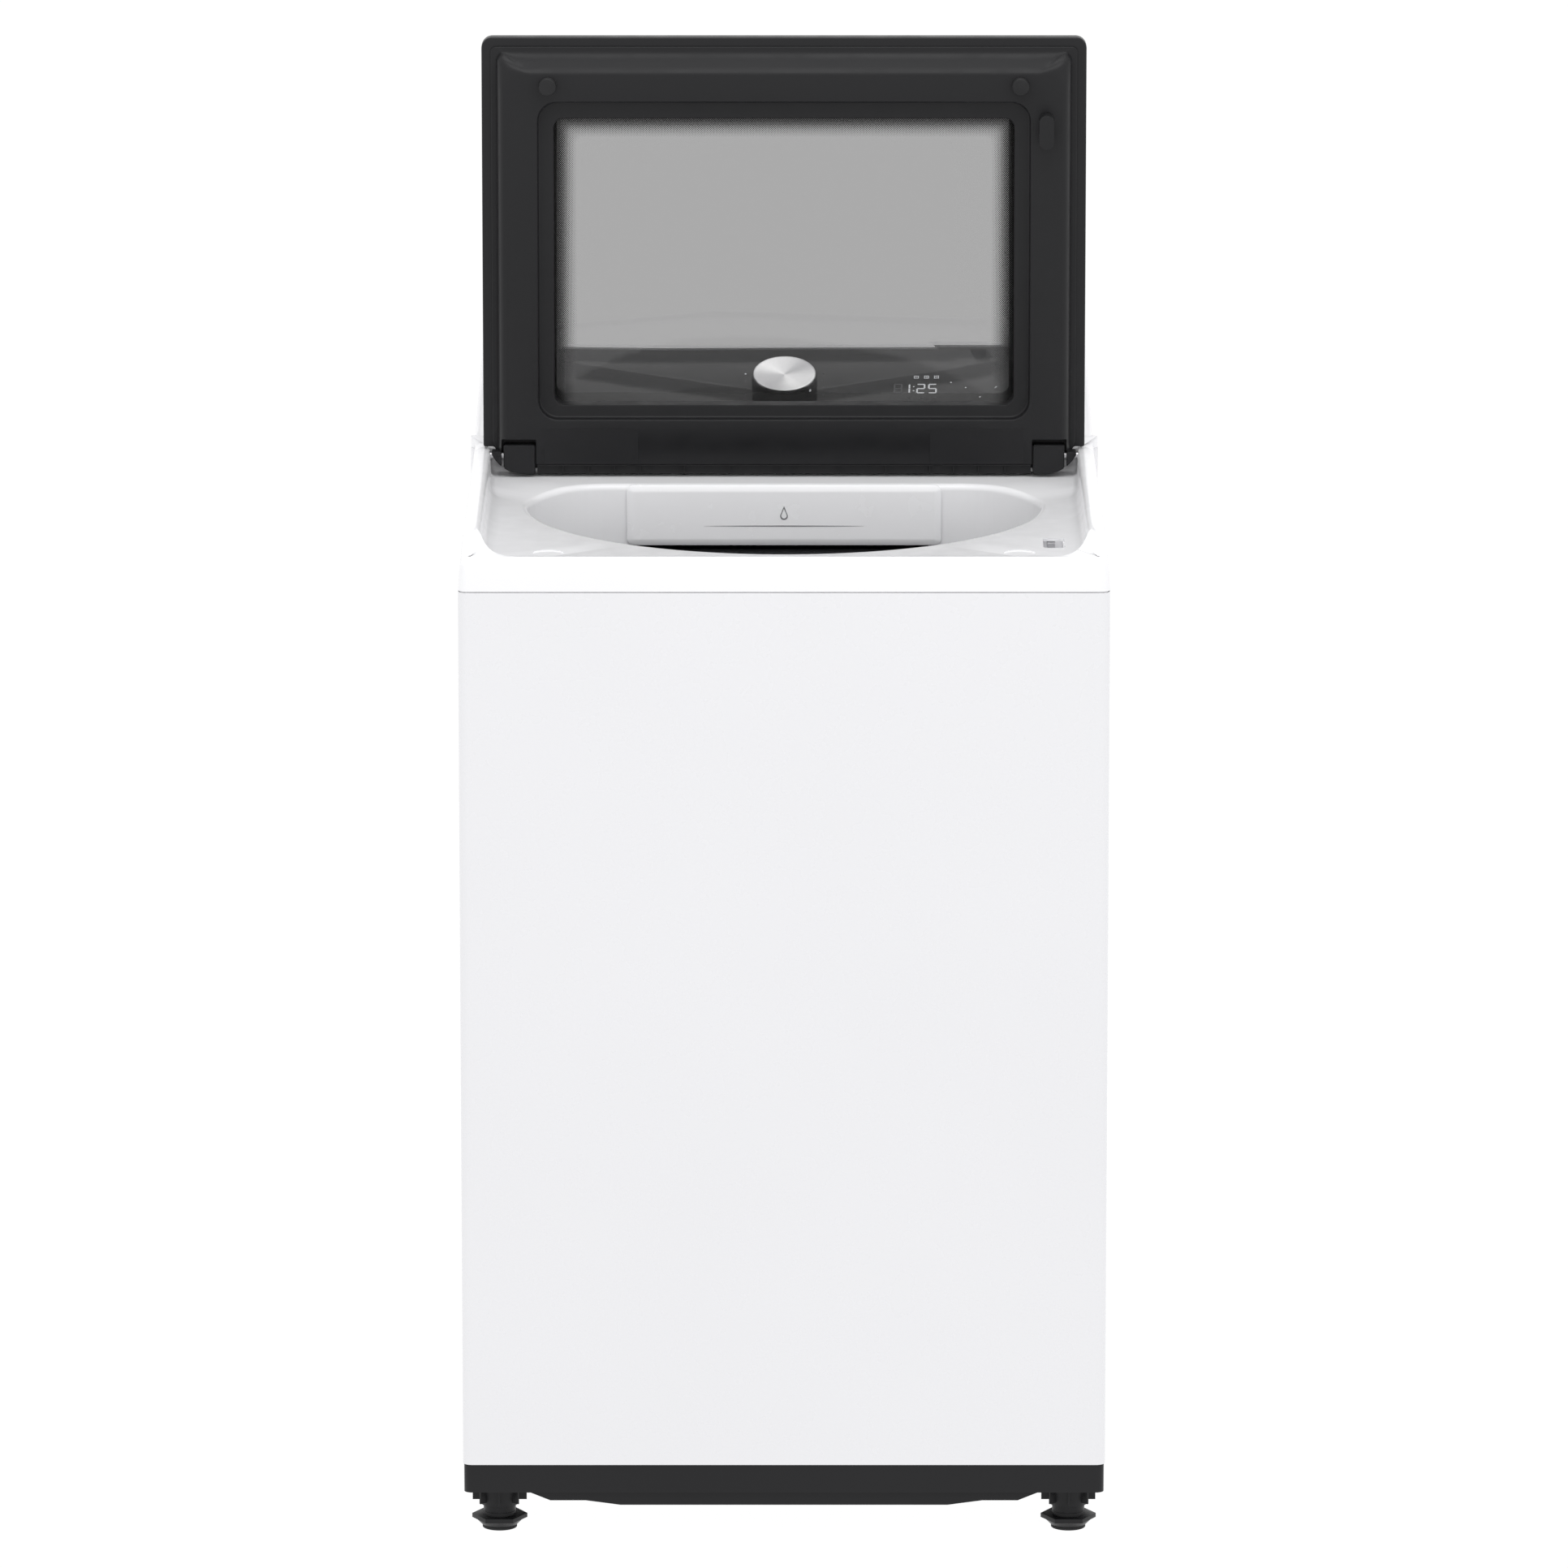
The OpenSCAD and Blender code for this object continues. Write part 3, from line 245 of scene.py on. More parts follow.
# ---------- outlines in plan ----------

def arc(centre, radius, start, end, steps):
    return [
        Vector((
            centre[0] + radius * math.cos(math.radians(start + (end - start) * i / steps)),
            centre[1] + radius * math.sin(math.radians(start + (end - start) * i / steps)),
        ))
        for i in range(steps + 1)
    ]


def rounded_outline(x0, x1, y0, y1, front_r, back_r=None, steps=9):
    """Rectangle in plan with round corners, counter-clockwise from the front left."""
    back_r = front_r if back_r is None else back_r
    return (
        arc((x0 + front_r, y0 + front_r), front_r, 180, 270, steps)
        + arc((x1 - front_r, y0 + front_r), front_r, 270, 360, steps)
        + arc((x1 - back_r, y1 - back_r), back_r, 0, 90, steps)
        + arc((x0 + back_r, y1 - back_r), back_r, 90, 180, steps)
    )


# Vectors hold single precision numbers, so a ray at the end of an edge may just miss it
PARALLEL = 1e-9
EDGE_SLACK = 1e-3


def crossing(outline, centre, angle):
    """Where a ray from the centre leaves the outline for the last time."""
    ray = Vector((math.cos(angle), math.sin(angle)))
    farthest = 0.0
    for a, b in zip(outline, outline[1:] + outline[:1]):
        edge = b - a
        across = ray.x * edge.y - ray.y * edge.x
        if abs(across) < PARALLEL:
            continue
        offset = a - centre
        reach = (offset.x * edge.y - offset.y * edge.x) / across
        share = (offset.x * ray.y - offset.y * ray.x) / across
        if -EDGE_SLACK <= share <= 1 + EDGE_SLACK:
            farthest = max(farthest, reach)
    return centre + ray * farthest


NEAR_DOUBLE = math.radians(0.12)


def shared_angles(outlines, centre, uniform=120):
    """Directions that pass through every corner arc of the outlines, without near doubles."""
    found = [2 * math.pi * i / uniform for i in range(uniform)]
    for outline in outlines:
        found += [math.atan2(p.y - centre.y, p.x - centre.x) % (2 * math.pi) for p in outline]
    found.sort()
    kept = []
    for angle in found:
        if not kept or angle - kept[-1] > NEAR_DOUBLE:
            kept.append(angle)
    return kept


def inward_normals(points):
    """Inward normals of a counter-clockwise loop, each taken from the two neighbours of a point."""
    normals = []
    for i in range(len(points)):
        tangent = points[(i + 1) % len(points)] - points[i - 1]
        normals.append(Vector((-tangent.y, tangent.x)).normalized())
    return normals


def loop_of(outline, centre, angles):
    """Points and inward normals of an outline, one for each direction."""
    points = [crossing(outline, centre, angle) for angle in angles]
    return points, inward_normals(points)


def ring_at(points, normals, offsets, heights):
    """A ring in space: each point moved inward by its offset, at its height."""
    ring = []
    for i, point in enumerate(points):
        moved = point + normals[i] * offsets[i]
        ring.append(Vector((moved.x, moved.y, heights[i])))
    return ring


# Angles of the rings that turn an edge through a quarter circle
QUARTER = [math.radians(18 * i) for i in range(6)]


# ---------- materials ----------

def node_material(name):
    material = bpy.data.materials.new(name)
    material.use_nodes = True
    tree = material.node_tree
    shader = tree.nodes["Principled BSDF"]
    coords = tree.nodes.new("ShaderNodeTexCoord")
    return material, tree, shader, coords.outputs["Object"]


def noise(tree, coords, scale, detail=4, stretch=None):
    node = tree.nodes.new("ShaderNodeTexNoise")
    node.inputs["Scale"].default_value = scale
    node.inputs["Detail"].default_value = detail
    if stretch:
        mapping = tree.nodes.new("ShaderNodeMapping")
        mapping.inputs["Scale"].default_value = stretch
        tree.links.new(coords, mapping.inputs["Vector"])
        coords = mapping.outputs["Vector"]
    tree.links.new(coords, node.inputs["Vector"])
    return node.outputs["Fac"]


def math_node(tree, operation, a, b=None, clamp=False):
    node = tree.nodes.new("ShaderNodeMath")
    node.operation = operation
    node.use_clamp = clamp
    for socket, value in zip(node.inputs, (a, b)):
        if value is None:
            continue
        if isinstance(value, (int, float)):
            socket.default_value = value
        else:
            tree.links.new(value, socket)
    return node.outputs[0]


# Most values of a noise texture lie between these
NOISE_LOW = 0.3
NOISE_HIGH = 0.7


def blend_colour(tree, factor, low, high, start=NOISE_LOW, end=NOISE_HIGH):
    ramp = tree.nodes.new("ShaderNodeValToRGB")
    ramp.color_ramp.elements[0].position = start
    ramp.color_ramp.elements[1].position = end
    ramp.color_ramp.elements[0].color = (*low, 1)
    ramp.color_ramp.elements[1].color = (*high, 1)
    tree.links.new(factor, ramp.inputs["Fac"])
    return ramp.outputs["Color"]


def remap(tree, value, low, high):
    node = tree.nodes.new("ShaderNodeMapRange")
    node.inputs["From Min"].default_value = NOISE_LOW
    node.inputs["From Max"].default_value = NOISE_HIGH
    node.inputs["To Min"].default_value = low
    node.inputs["To Max"].default_value = high
    tree.links.new(value, node.inputs["Value"])
    return node.outputs["Result"]


def bump(tree, shader, height, distance, strength=0.5):
    node = tree.nodes.new("ShaderNodeBump")
    node.inputs["Distance"].default_value = distance
    node.inputs["Strength"].default_value = strength
    tree.links.new(height, node.inputs["Height"])
    tree.links.new(node.outputs["Normal"], shader.inputs["Normal"])


WEAR_SCALE = 40
WEAR_RANGE = (0.85, 1.15)
GRAIN_STRENGTH = 0.3


def surface(name, colour, rough, vary=0.02, metallic=0.0, specular=0.5, grain=900, depth=0.00002,
            blotch=3.0, stretch=None, coat=0.0):
    """A moulded, painted or metal surface: slow colour drift, fine grain and uneven gloss."""
    material, tree, shader, coords = node_material(name)
    low = tuple(max(c * (1 - vary), 0) for c in colour)
    high = tuple(min(c * (1 + vary), 1) for c in colour)
    drift = noise(tree, coords, blotch, 3)
    tree.links.new(blend_colour(tree, drift, low, high), shader.inputs["Base Color"])
    wear = noise(tree, coords, WEAR_SCALE, 5, stretch)
    uneven = remap(tree, wear, rough * WEAR_RANGE[0], rough * WEAR_RANGE[1])
    tree.links.new(uneven, shader.inputs["Roughness"])
    shader.inputs["Metallic"].default_value = metallic
    shader.inputs["Specular IOR Level"].default_value = specular
    shader.inputs["Coat Weight"].default_value = coat
    bump(tree, shader, noise(tree, coords, grain, 3, stretch), depth, GRAIN_STRENGTH)
    return material


# Lid in its closed place, as depths behind the cabinet front
LID_FRONT = 36.0
WINDOW_HALF = 250.0
WINDOW_FRONT = 123.0
WINDOW_BACK = HINGE.y - FRONT_Y - 56.0
RECESS_SIDE = 17.0


def window_z(depth):
    """Height, with the lid open, of a place given by its depth with the lid closed."""
    return HINGE.z - (FRONT_Y + depth - HINGE.y)


# Printed border of the glass: dots in a square pattern that shrink away from the edge
PRINT_FADE = 24.0
PRINT_PITCH = 2.4
PRINT_CORNER = 0.6
PRINT_SHARPNESS = 5.0
PRINT_LEAST = 0.002
PRINT_BLACK = (0.004, 0.004, 0.004)
GLASS_TINT = (0.37, 0.37, 0.37)


def glass_material(name):
    """Grey tinted lid glass with its printed border; the border's lower edge lies below the window."""
    material, tree, shader, coords = node_material(name)
    split = tree.nodes.new("ShaderNodeSeparateXYZ")
    tree.links.new(coords, split.inputs[0])
    half_x = WINDOW_HALF * MM
    bottom_z = window_z(WINDOW_BACK) * MM
    top_z = window_z(WINDOW_FRONT) * MM
    fade = PRINT_FADE * MM
    side = math_node(tree, "SUBTRACT", half_x, math_node(tree, "ABSOLUTE", split.outputs["X"]))
    top = math_node(tree, "SUBTRACT", top_z, split.outputs["Z"])
    bottom = math_node(tree, "SUBTRACT", split.outputs["Z"], bottom_z)
    bottom = math_node(tree, "ADD", bottom, fade)
    nearest = math_node(tree, "SMOOTH_MIN", side, top)
    nearest.node.inputs[2].default_value = fade * PRINT_CORNER
    nearest = math_node(tree, "MINIMUM", nearest, bottom)
    edge = math_node(tree, "SUBTRACT", 1.0, math_node(tree, "DIVIDE", nearest, fade), clamp=True)
    turns = 2 * math.pi / (PRINT_PITCH * MM)
    u = math_node(tree, "SINE", math_node(tree, "MULTIPLY", split.outputs["X"], turns))
    v = math_node(tree, "SINE", math_node(tree, "MULTIPLY", split.outputs["Z"], turns))
    dots = math_node(tree, "MULTIPLY", math_node(tree, "MULTIPLY", u, v), 0.5)
    dots = math_node(tree, "ADD", dots, 0.5)
    level = math_node(tree, "SUBTRACT", edge, dots)
    cover = math_node(tree, "MULTIPLY", level, PRINT_SHARPNESS)
    printed = math_node(tree, "ADD", cover, 0.5, clamp=True)
    in_border = math_node(tree, "GREATER_THAN", edge, PRINT_LEAST)
    printed = math_node(tree, "MULTIPLY", printed, in_border)
    tint = blend_colour(tree, printed, GLASS_TINT, PRINT_BLACK, 0.0, 1.0)
    tree.links.new(tint, shader.inputs["Base Color"])
    clear = math_node(tree, "SUBTRACT", 1.0, printed, clamp=True)
    tree.links.new(clear, shader.inputs["Transmission Weight"])
    shader.inputs["Roughness"].default_value = 0.02
    shader.inputs["IOR"].default_value = 1.5
    shader.inputs["Specular IOR Level"].default_value = 0.3
    bump(tree, shader, noise(tree, coords, 3, 2), 0.00002, 0.05)
    return material


# Painted highlight and shade on the spun face: two wide wedges, their turn from the x axis, and five narrow ones
WEDGE_TURN = 0.9
WEDGE_CONTRAST = 0.4
FINE_WEDGE_SHARE = 0.25
GROOVE_SCALE = 2600
WEDGE_SHADE_PAINT = (0.5, 0.5, 0.51)
WEDGE_HIGHLIGHT_PAINT = (0.95, 0.95, 0.95)


def spun_metal(name):
    """Aluminium turned on a lathe: rings of fine grooves, and wedges of highlight and shade painted into the base
    colour round the axis.
    """
    material, tree, shader, coords = node_material(name)
    place = tree.nodes.new("ShaderNodeMapping")
    place.vector_type = "TEXTURE"
    place.inputs["Location"].default_value = KNOB * MM
    place.inputs["Rotation"].default_value = (math.atan2(-PANEL_NORMAL.y, PANEL_NORMAL.z), 0, 0)
    tree.links.new(coords, place.inputs["Vector"])
    local = place.outputs["Vector"]
    split = tree.nodes.new("ShaderNodeSeparateXYZ")
    tree.links.new(local, split.inputs[0])
    turn = math_node(tree, "ARCTAN2", split.outputs["Y"], split.outputs["X"])
    turn_from_wedge = math_node(tree, "ADD", turn, WEDGE_TURN)
    wedge = math_node(tree, "COSINE", math_node(tree, "MULTIPLY", turn_from_wedge, 2.0))
    fine = math_node(tree, "COSINE", math_node(tree, "MULTIPLY", turn, 5.0))
    light = math_node(tree, "ADD", wedge, math_node(tree, "MULTIPLY", fine, FINE_WEDGE_SHARE))
    light = math_node(tree, "ADD", math_node(tree, "MULTIPLY", light, WEDGE_CONTRAST), 0.5)
    # Painted highlight and shade: the wedges lighten and darken the base colour by the turn round the axis
    spun = blend_colour(tree, light, WEDGE_SHADE_PAINT, WEDGE_HIGHLIGHT_PAINT, 0.0, 1.0)
    tree.links.new(spun, shader.inputs["Base Color"])
    radius = tree.nodes.new("ShaderNodeVectorMath")
    radius.operation = "LENGTH"
    tree.links.new(local, radius.inputs[0])
    grooves = tree.nodes.new("ShaderNodeTexNoise")
    grooves.noise_dimensions = "1D"
    grooves.inputs["Scale"].default_value = GROOVE_SCALE
    tree.links.new(radius.outputs["Value"], grooves.inputs["W"])
    bump(tree, shader, grooves.outputs["Fac"], 0.00001, 0.4)
    shader.inputs["Metallic"].default_value = 1.0
    shader.inputs["Roughness"].default_value = 0.28
    return material


def light_material(name, colour, strength):
    """A lit mark: an even glow with a little grain in the diffuser."""
    material, tree, shader, coords = node_material(name)
    grain = noise(tree, coords, 4000, 2)
    tinted = blend_colour(tree, grain, tuple(c * 0.85 for c in colour), colour)
    tree.links.new(tinted, shader.inputs["Base Color"])
    tree.links.new(tinted, shader.inputs["Emission Color"])
    shader.inputs["Emission Strength"].default_value = strength
    shader.inputs["Roughness"].default_value = 0.4
    return material


MATERIALS = {
    "white_enamel": surface(
        "white_enamel", (0.8, 0.8, 0.82), 0.28, 0.006, grain=500, depth=0.00001, coat=0.15),
    "white_plastic": surface(
        "white_plastic", (0.885, 0.885, 0.9), 0.2, 0.006, grain=700, depth=0.00001),
    "white_matte": surface("white_matte", (0.8, 0.8, 0.815), 0.45, 0.01, grain=1200),
    "black_plastic": surface(
        "black_plastic", (0.013, 0.013, 0.0142), 0.38, 0.06, specular=0.22, grain=1600, depth=0.00003),
    "black_gloss": surface(
        "black_gloss", (0.009, 0.009, 0.01), 0.1, 0.05, specular=0.35, grain=300, depth=0.000004),
    "grey_plastic": surface("grey_plastic", (0.4, 0.41, 0.43), 0.42, 0.03, grain=1200),
    "blue_plastic": surface("blue_plastic", (0.09, 0.22, 0.6), 0.35, 0.03),
    "green_board": surface("green_board", (0.02, 0.13, 0.05), 0.3, 0.2, blotch=90),
    "rubber": surface(
        "rubber", (0.016, 0.016, 0.017), 0.6, 0.1, specular=0.25, grain=2200, depth=0.00005),
    "zinc_sheet": surface(
        "zinc_sheet", (0.5, 0.52, 0.54), 0.38, 0.12, metallic=0.85, blotch=45, grain=160),
    "steel": surface(
        "steel", (0.55, 0.55, 0.56), 0.3, 0.06, metallic=1.0, grain=500, stretch=(1, 1, 12)),
    "stainless": surface(
        "stainless", (0.62, 0.62, 0.63), 0.24, 0.05, metallic=1.0, grain=260, stretch=(14, 14, 1)),
    "die_cast": surface(
        "die_cast", (0.5, 0.51, 0.53), 0.5, 0.08, metallic=0.9, grain=900, depth=0.00008),
    "winding": surface("winding", (0.3, 0.11, 0.04), 0.4, 0.25, blotch=160, grain=400),
    "knob_metal": spun_metal("knob_metal"),
    "tinted_glass": glass_material("tinted_glass"),
}
# A brighter copy of the white plastic for the drawer front: painted light that makes up for the shade in the
# deck's well
DRAWER_BRIGHTENED_WHITE = surface(
    "drawer_white_painted_light", (0.97, 0.97, 0.985), 0.25, 0.005, grain=700, depth=0.00001)
MARK_LIT = light_material("mark_lit", (0.9, 0.92, 0.95), 0.9)
MARK_DIM = light_material("mark_dim", (0.12, 0.12, 0.13), 0.05)
PRINT_GREY = surface("print_grey", (0.2, 0.2, 0.21), 0.4, 0.05)

for node_name, node_object in NODES.items():
    node_object.data.materials.clear()
    node_object.data.materials.append(MATERIALS[SLOT_OF[node_name]])


# ---------- top cover: deck ----------

# Heights
DECK_Z = SEAM_Z + 26
LIP_Z = SEAM_Z + 37
RAIL_Z = SEAM_Z + 58
FUNNEL_Z = COVER_LOW.z
# Sunken well round the deck
WELL_HALF = HALF_W - 23
WELL_FRONT_Y = FRONT_Y + 16
WELL_BACK_Y = COVER_HIGH.y - 174
WELL_FRONT_R = 40
WELL_BACK_R = 18
# Lower edge of the control panel, where the deck meets the console
LOW_EDGE_Y = PANEL_LOW.y + 1
LOW_EDGE_Z = RAIL_Z + 9
# Opening over the tub; the rings of the deck are laid out round TUB_CENTRE
OPEN_R = 277.0
OPEN_BACK_Y = box_mm("drawer_front")[1].y - 2.7
OPEN_CORNER_R = 90.0
TUB_CENTRE = Vector((0, -95))
# Slot for the lid strike, and the seats of the lid's bumpers
LOCK_SLOT = (Vector((275, FRONT_Y + 112)), Vector((298, FRONT_Y + 165)))
SEAT_X = 249.0
SEAT_Y = FRONT_Y + 85.4
SEAT_R = 17.0
# Inward lean of the outer walls, and the shadow gap over the cabinet
LEAN = 10 / 149
SEAM_GAP = 1.3
SEAM_DEPTH = 1.8
WALL = 3.0
# Radii of the outer top edge, the well's rim and the opening's rim
EDGE_R = 10.0
RIM_R = 4.5
HOLE_R = 7.0
# Where the front lip rises to the rails, and where the rails rise to the console
RISE_FROM = 14
RISE_LENGTH = 38
FOOT_LENGTH = 12
# Radius at the foot of the well's wall: its size in front, and how it shrinks towards the back
COVE_FRONT_R = 16.0
COVE_LESS = 10.0
COVE_FROM_Y = 20
COVE_LENGTH = 60
COVE_MOST = 0.95
# The deck's rise towards the wall that holds the drawer
DECK_RISE = 5
DECK_RISE_BEFORE = 50
DECK_RISE_LENGTH = 45


def cover_top(y):
    """Height of the cover's top along its depth: front lip, rails, then the console's foot."""
    depth = y - FRONT_Y
    rise = ease((depth - RISE_FROM) / RISE_LENGTH)
    foot = ease((y - (LOW_EDGE_Y - FOOT_LENGTH)) / FOOT_LENGTH)
    return LIP_Z + (RAIL_Z - LIP_Z) * rise + (LOW_EDGE_Z - RAIL_Z) * foot


def deck_floor(y):
    """The deck rises a little towards the wall that holds the drawer."""
    return DECK_Z + DECK_RISE * ease((y - OPEN_BACK_Y + DECK_RISE_BEFORE) / DECK_RISE_LENGTH)


def cove_radius(y):
    """Radius between the well's wall and its floor: smaller at the back, less than the wall's height."""
    wall_height = cover_top(y) - RIM_R - deck_floor(y)
    return min(COVE_FRONT_R - COVE_LESS * ease((y - COVE_FROM_Y) / COVE_LENGTH), wall_height * COVE_MOST)


def opening_outline():
    """The round opening over the tub, closed off straight under the drawer."""
    side_x = OPEN_R - OPEN_CORNER_R
    side_y = OPEN_BACK_Y - OPEN_CORNER_R
    turn = math.degrees(math.atan2(side_y, side_x))
    return (
        arc((0, 0), OPEN_R, 180 - turn, 360 + turn, 72)
        + arc((side_x, side_y), OPEN_CORNER_R, turn, 90, 14)
        + arc((-side_x, side_y), OPEN_CORNER_R, 90, 180 - turn, 14)
    )


def build_deck():
    """Cover in front of the console: outer wall, rim, well, funnel edge and the undersides."""
    outer = rounded_outline(-HALF_W, HALF_W, FRONT_Y, LOW_EDGE_Y, EDGE_R, 0.5, 8)
    well = rounded_outline(-WELL_HALF, WELL_HALF, WELL_FRONT_Y, WELL_BACK_Y, WELL_FRONT_R, WELL_BACK_R, 10)
    opening = opening_outline()
    slot_half = box_mm("drawer_tray")[1].x + 4
    angles = shared_angles([outer, well, opening], TUB_CENTRE)
    edge, edge_in = loop_of(outer, TUB_CENTRE, angles)
    rim, rim_in = loop_of(well, TUB_CENTRE, angles)
    hole, hole_in = loop_of(opening, TUB_CENTRE, angles)
    count = len(angles)
    outside = [point.y < LOW_EDGE_Y - 1 for point in edge]
    edge_r = [EDGE_R if out else 0.0 for out in outside]
    lean_in = [LEAN * (cover_top(p.y) - SEAM_Z) if out else 0.0 for p, out in zip(edge, outside)]
    edge_in = [normal if out else Vector((0, -1)) for normal, out in zip(edge_in, outside)]
    seam_in = [SEAM_DEPTH if out else 0.0 for out in outside]
    rings = [
        ring_at(edge, edge_in, seam_in, [SEAM_Z] * count),
        ring_at(edge, edge_in, seam_in, [SEAM_Z + SEAM_GAP] * count),
        ring_at(edge, edge_in, [0.0] * count, [SEAM_Z + SEAM_GAP + 0.1] * count),
    ]
    middle = [(SEAM_Z + cover_top(p.y)) / 2 for p in edge]
    rings.append(ring_at(edge, edge_in, [d / 2 for d in lean_in], middle))
    for a in QUARTER:
        offsets = [lean + r * (1 - math.cos(a)) for lean, r in zip(lean_in, edge_r)]
        heights = [cover_top(p.y) - r + r * math.sin(a) for p, r in zip(edge, edge_r)]
        rings.append(ring_at(edge, edge_in, offsets, heights))
    for a in QUARTER:
        offsets = [RIM_R * (math.sin(a) - 1)] * count
        heights = [cover_top(p.y) - RIM_R + RIM_R * math.cos(a) for p in rim]
        rings.append(ring_at(rim, rim_in, offsets, heights))
    cove = [cove_radius(p.y) for p in rim]
    for a in QUARTER:
        offsets = [r * (1 - math.cos(a)) for r in cove]
        heights = [deck_floor(p.y) + r - r * math.sin(a) for p, r in zip(rim, cove)]
        rings.append(ring_at(rim, rim_in, offsets, heights))
    for a in QUARTER:
        offsets = [HOLE_R * (math.sin(a) - 1)] * count
        heights = [deck_floor(p.y) - HOLE_R + HOLE_R * math.cos(a) for p in hole]
        rings.append(ring_at(hole, hole_in, offsets, heights))
    # The undersides, from the funnel's foot back out to the seam
    under = [-WALL] * count
    under_edge = [lean + 4.0 for lean in lean_in]
    rings += [
        ring_at(hole, hole_in, [0.0] * count, [FUNNEL_Z] * count),
        ring_at(hole, hole_in, under, [FUNNEL_Z] * count),
        ring_at(hole, hole_in, under, [deck_floor(p.y) - WALL for p in hole]),
        ring_at(rim, rim_in, under, [deck_floor(p.y) - WALL for p in rim]),
        ring_at(rim, rim_in, under, [cover_top(p.y) - 7.0 for p in rim]),
        ring_at(edge, edge_in, under_edge, [cover_top(p.y) - 12.0 for p in edge]),
        ring_at(edge, edge_in, [WALL] * count, [SEAM_Z] * count),
        rings[0],
    ]
    bm = bmesh.new()
    skin(bm, rings)
    bmesh.ops.remove_doubles(bm, verts=bm.verts, dist=WELD_MM)
    drawer_slot = rounded_outline(-slot_half, slot_half, OPEN_BACK_Y - 5, OPEN_BACK_Y + 8, 1)
    drawer_slot_top = box_mm("drawer_tray")[1].z + 6
    strike_low, strike_high = LOCK_SLOT
    strike_slot = rounded_outline(strike_low.x, strike_high.x, strike_low.y, strike_high.y, 6)
    tools = [
        prism(drawer_slot, FUNNEL_Z - 5, drawer_slot_top),
        prism(strike_slot, DECK_Z - 20, DECK_Z + 5),
    ]
    for side in (-1, 1):
        seat = arc((side * SEAT_X, SEAT_Y), SEAT_R, 0, 351, 39)
        tools.append(prism(seat, DECK_Z - 1, DECK_Z + 4))
    deck = finish_mesh("top_cover_deck", "root", "white_plastic", carved(bm, tools), 40)
    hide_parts("top_cover")


CONSOLE_EDGE_R = 6.0
PANEL_GAP = 0.6
PANEL_SEAT_DEPTH = 5
SLOPE = -PANEL_NORMAL.y / PANEL_NORMAL.z


def build_console():
    """White surround of the control panel: cheeks, upper edge and the seat round the panel."""
    back_y = REAR_LOW.y
    top_y = PANEL_HIGH.y
    top_z = LOW_EDGE_Z + (top_y - LOW_EDGE_Y) * SLOPE
    outer = rounded_outline(-HALF_W, HALF_W, LOW_EDGE_Y, back_y, 0.5, 0.5, 4)
    seat_x0 = PANEL_LOW.x - PANEL_GAP
    seat_x1 = PANEL_HIGH.x + PANEL_GAP
    seat = rounded_outline(seat_x0, seat_x1, LOW_EDGE_Y + 0.3, top_y + 0.4, 2, 2, 4)
    centre = Vector((0, (LOW_EDGE_Y + back_y) / 2))
    angles = shared_angles([outer, seat], centre, 90)
    edge = [crossing(outer, centre, angle) for angle in angles]
    seat_at = [crossing(seat, centre, angle) for angle in angles]

    def slope(y):
        """Height of the console's top: up the panel's slope, then level."""
        return min(LOW_EDGE_Z + (y - LOW_EDGE_Y) * SLOPE, top_z)

    side = [abs(p.x) > HALF_W - 1 for p in edge]
    rings = []
    for share in (0.0, 0.5):
        ring = []
        for p, s in zip(edge, side):
            rise = share * (slope(p.y) - SEAM_Z)
            inward = LEAN * rise if s else 0.0
            ring.append(Vector((p.x - math.copysign(inward, p.x), p.y, SEAM_Z + rise)))
        rings.append(ring)
    for a in QUARTER:
        ring = []
        for p, s in zip(edge, side):
            top = slope(p.y)
            r = CONSOLE_EDGE_R if s else 0.0
            inward = LEAN * (top - SEAM_Z) * (abs(p.x) / HALF_W) + r * (1 - math.cos(a))
            ring.append(Vector((p.x - math.copysign(inward, p.x), p.y, top - r + r * math.sin(a))))
        rings.append(ring)
    rings.append([Vector((p.x, p.y, slope(p.y))) for p in seat_at])
    rings.append([Vector((p.x, p.y, slope(p.y) - PANEL_SEAT_DEPTH)) for p in seat_at])
    bm = bmesh.new()
    skin(bm, rings)
    finish_mesh("top_cover_console", "root", "white_plastic", bm, 40)


build_deck()
build_console()


# ---------- drawer front ----------

DRAWER_CORNER_R = 8
# The front's edge as pairs: distance in from the outline, distance back from the face
DRAWER_EDGE = ((0.0, 5), (0.0, 3.2), (0.4, 2.2), (1.5, 1.4), (6.0, 0.3), (7.0, 0.05), (8.0, 0))


def build_drawer_front():
    """Front plate with a soft edge and the block that joins it to the tray."""
    low, high = box_mm("drawer_front")
    face_y = low.y
    outline = rounded_outline(low.x, high.x, low.z, high.z, DRAWER_CORNER_R, steps=6)
    inward = inward_normals(outline)
    rings = []
    for inset, back in DRAWER_EDGE:
        moved = [point + normal * inset for point, normal in zip(outline, inward)]
        rings.append([Vector((p.x, face_y + back, p.y)) for p in moved])
    bm = bmesh.new()
    made = skin(bm, rings)
    cap(bm, made[-1])
    cap(bm, made[0])
    tray_low, tray_high = box_mm("drawer_tray")
    joint_low = (tray_low.x + 4, face_y + 4.9, tray_low.z + 2)
    joint_high = (tray_high.x - 4, tray_low.y, tray_high.z - 2)
    block(bm, joint_low, joint_high)
    # The front takes the brightened white, painted light for the shade in the well, instead of its slot's own
    # white
    front = finish_mesh("drawer_front_shaped", "drawer", "white_plastic", bm, 30, DRAWER_BRIGHTENED_WHITE)
    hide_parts("drawer_front")


# Marks printed a little proud of the drawer front
MARK_PROUD = 0.25
DROP_R = 4.2
DROP_TIP = 9.5
DROP_INNER = 0.72
LINE_DOWN = 11.5
LINE_HALF = 87.0
LINE_STEPS = 24


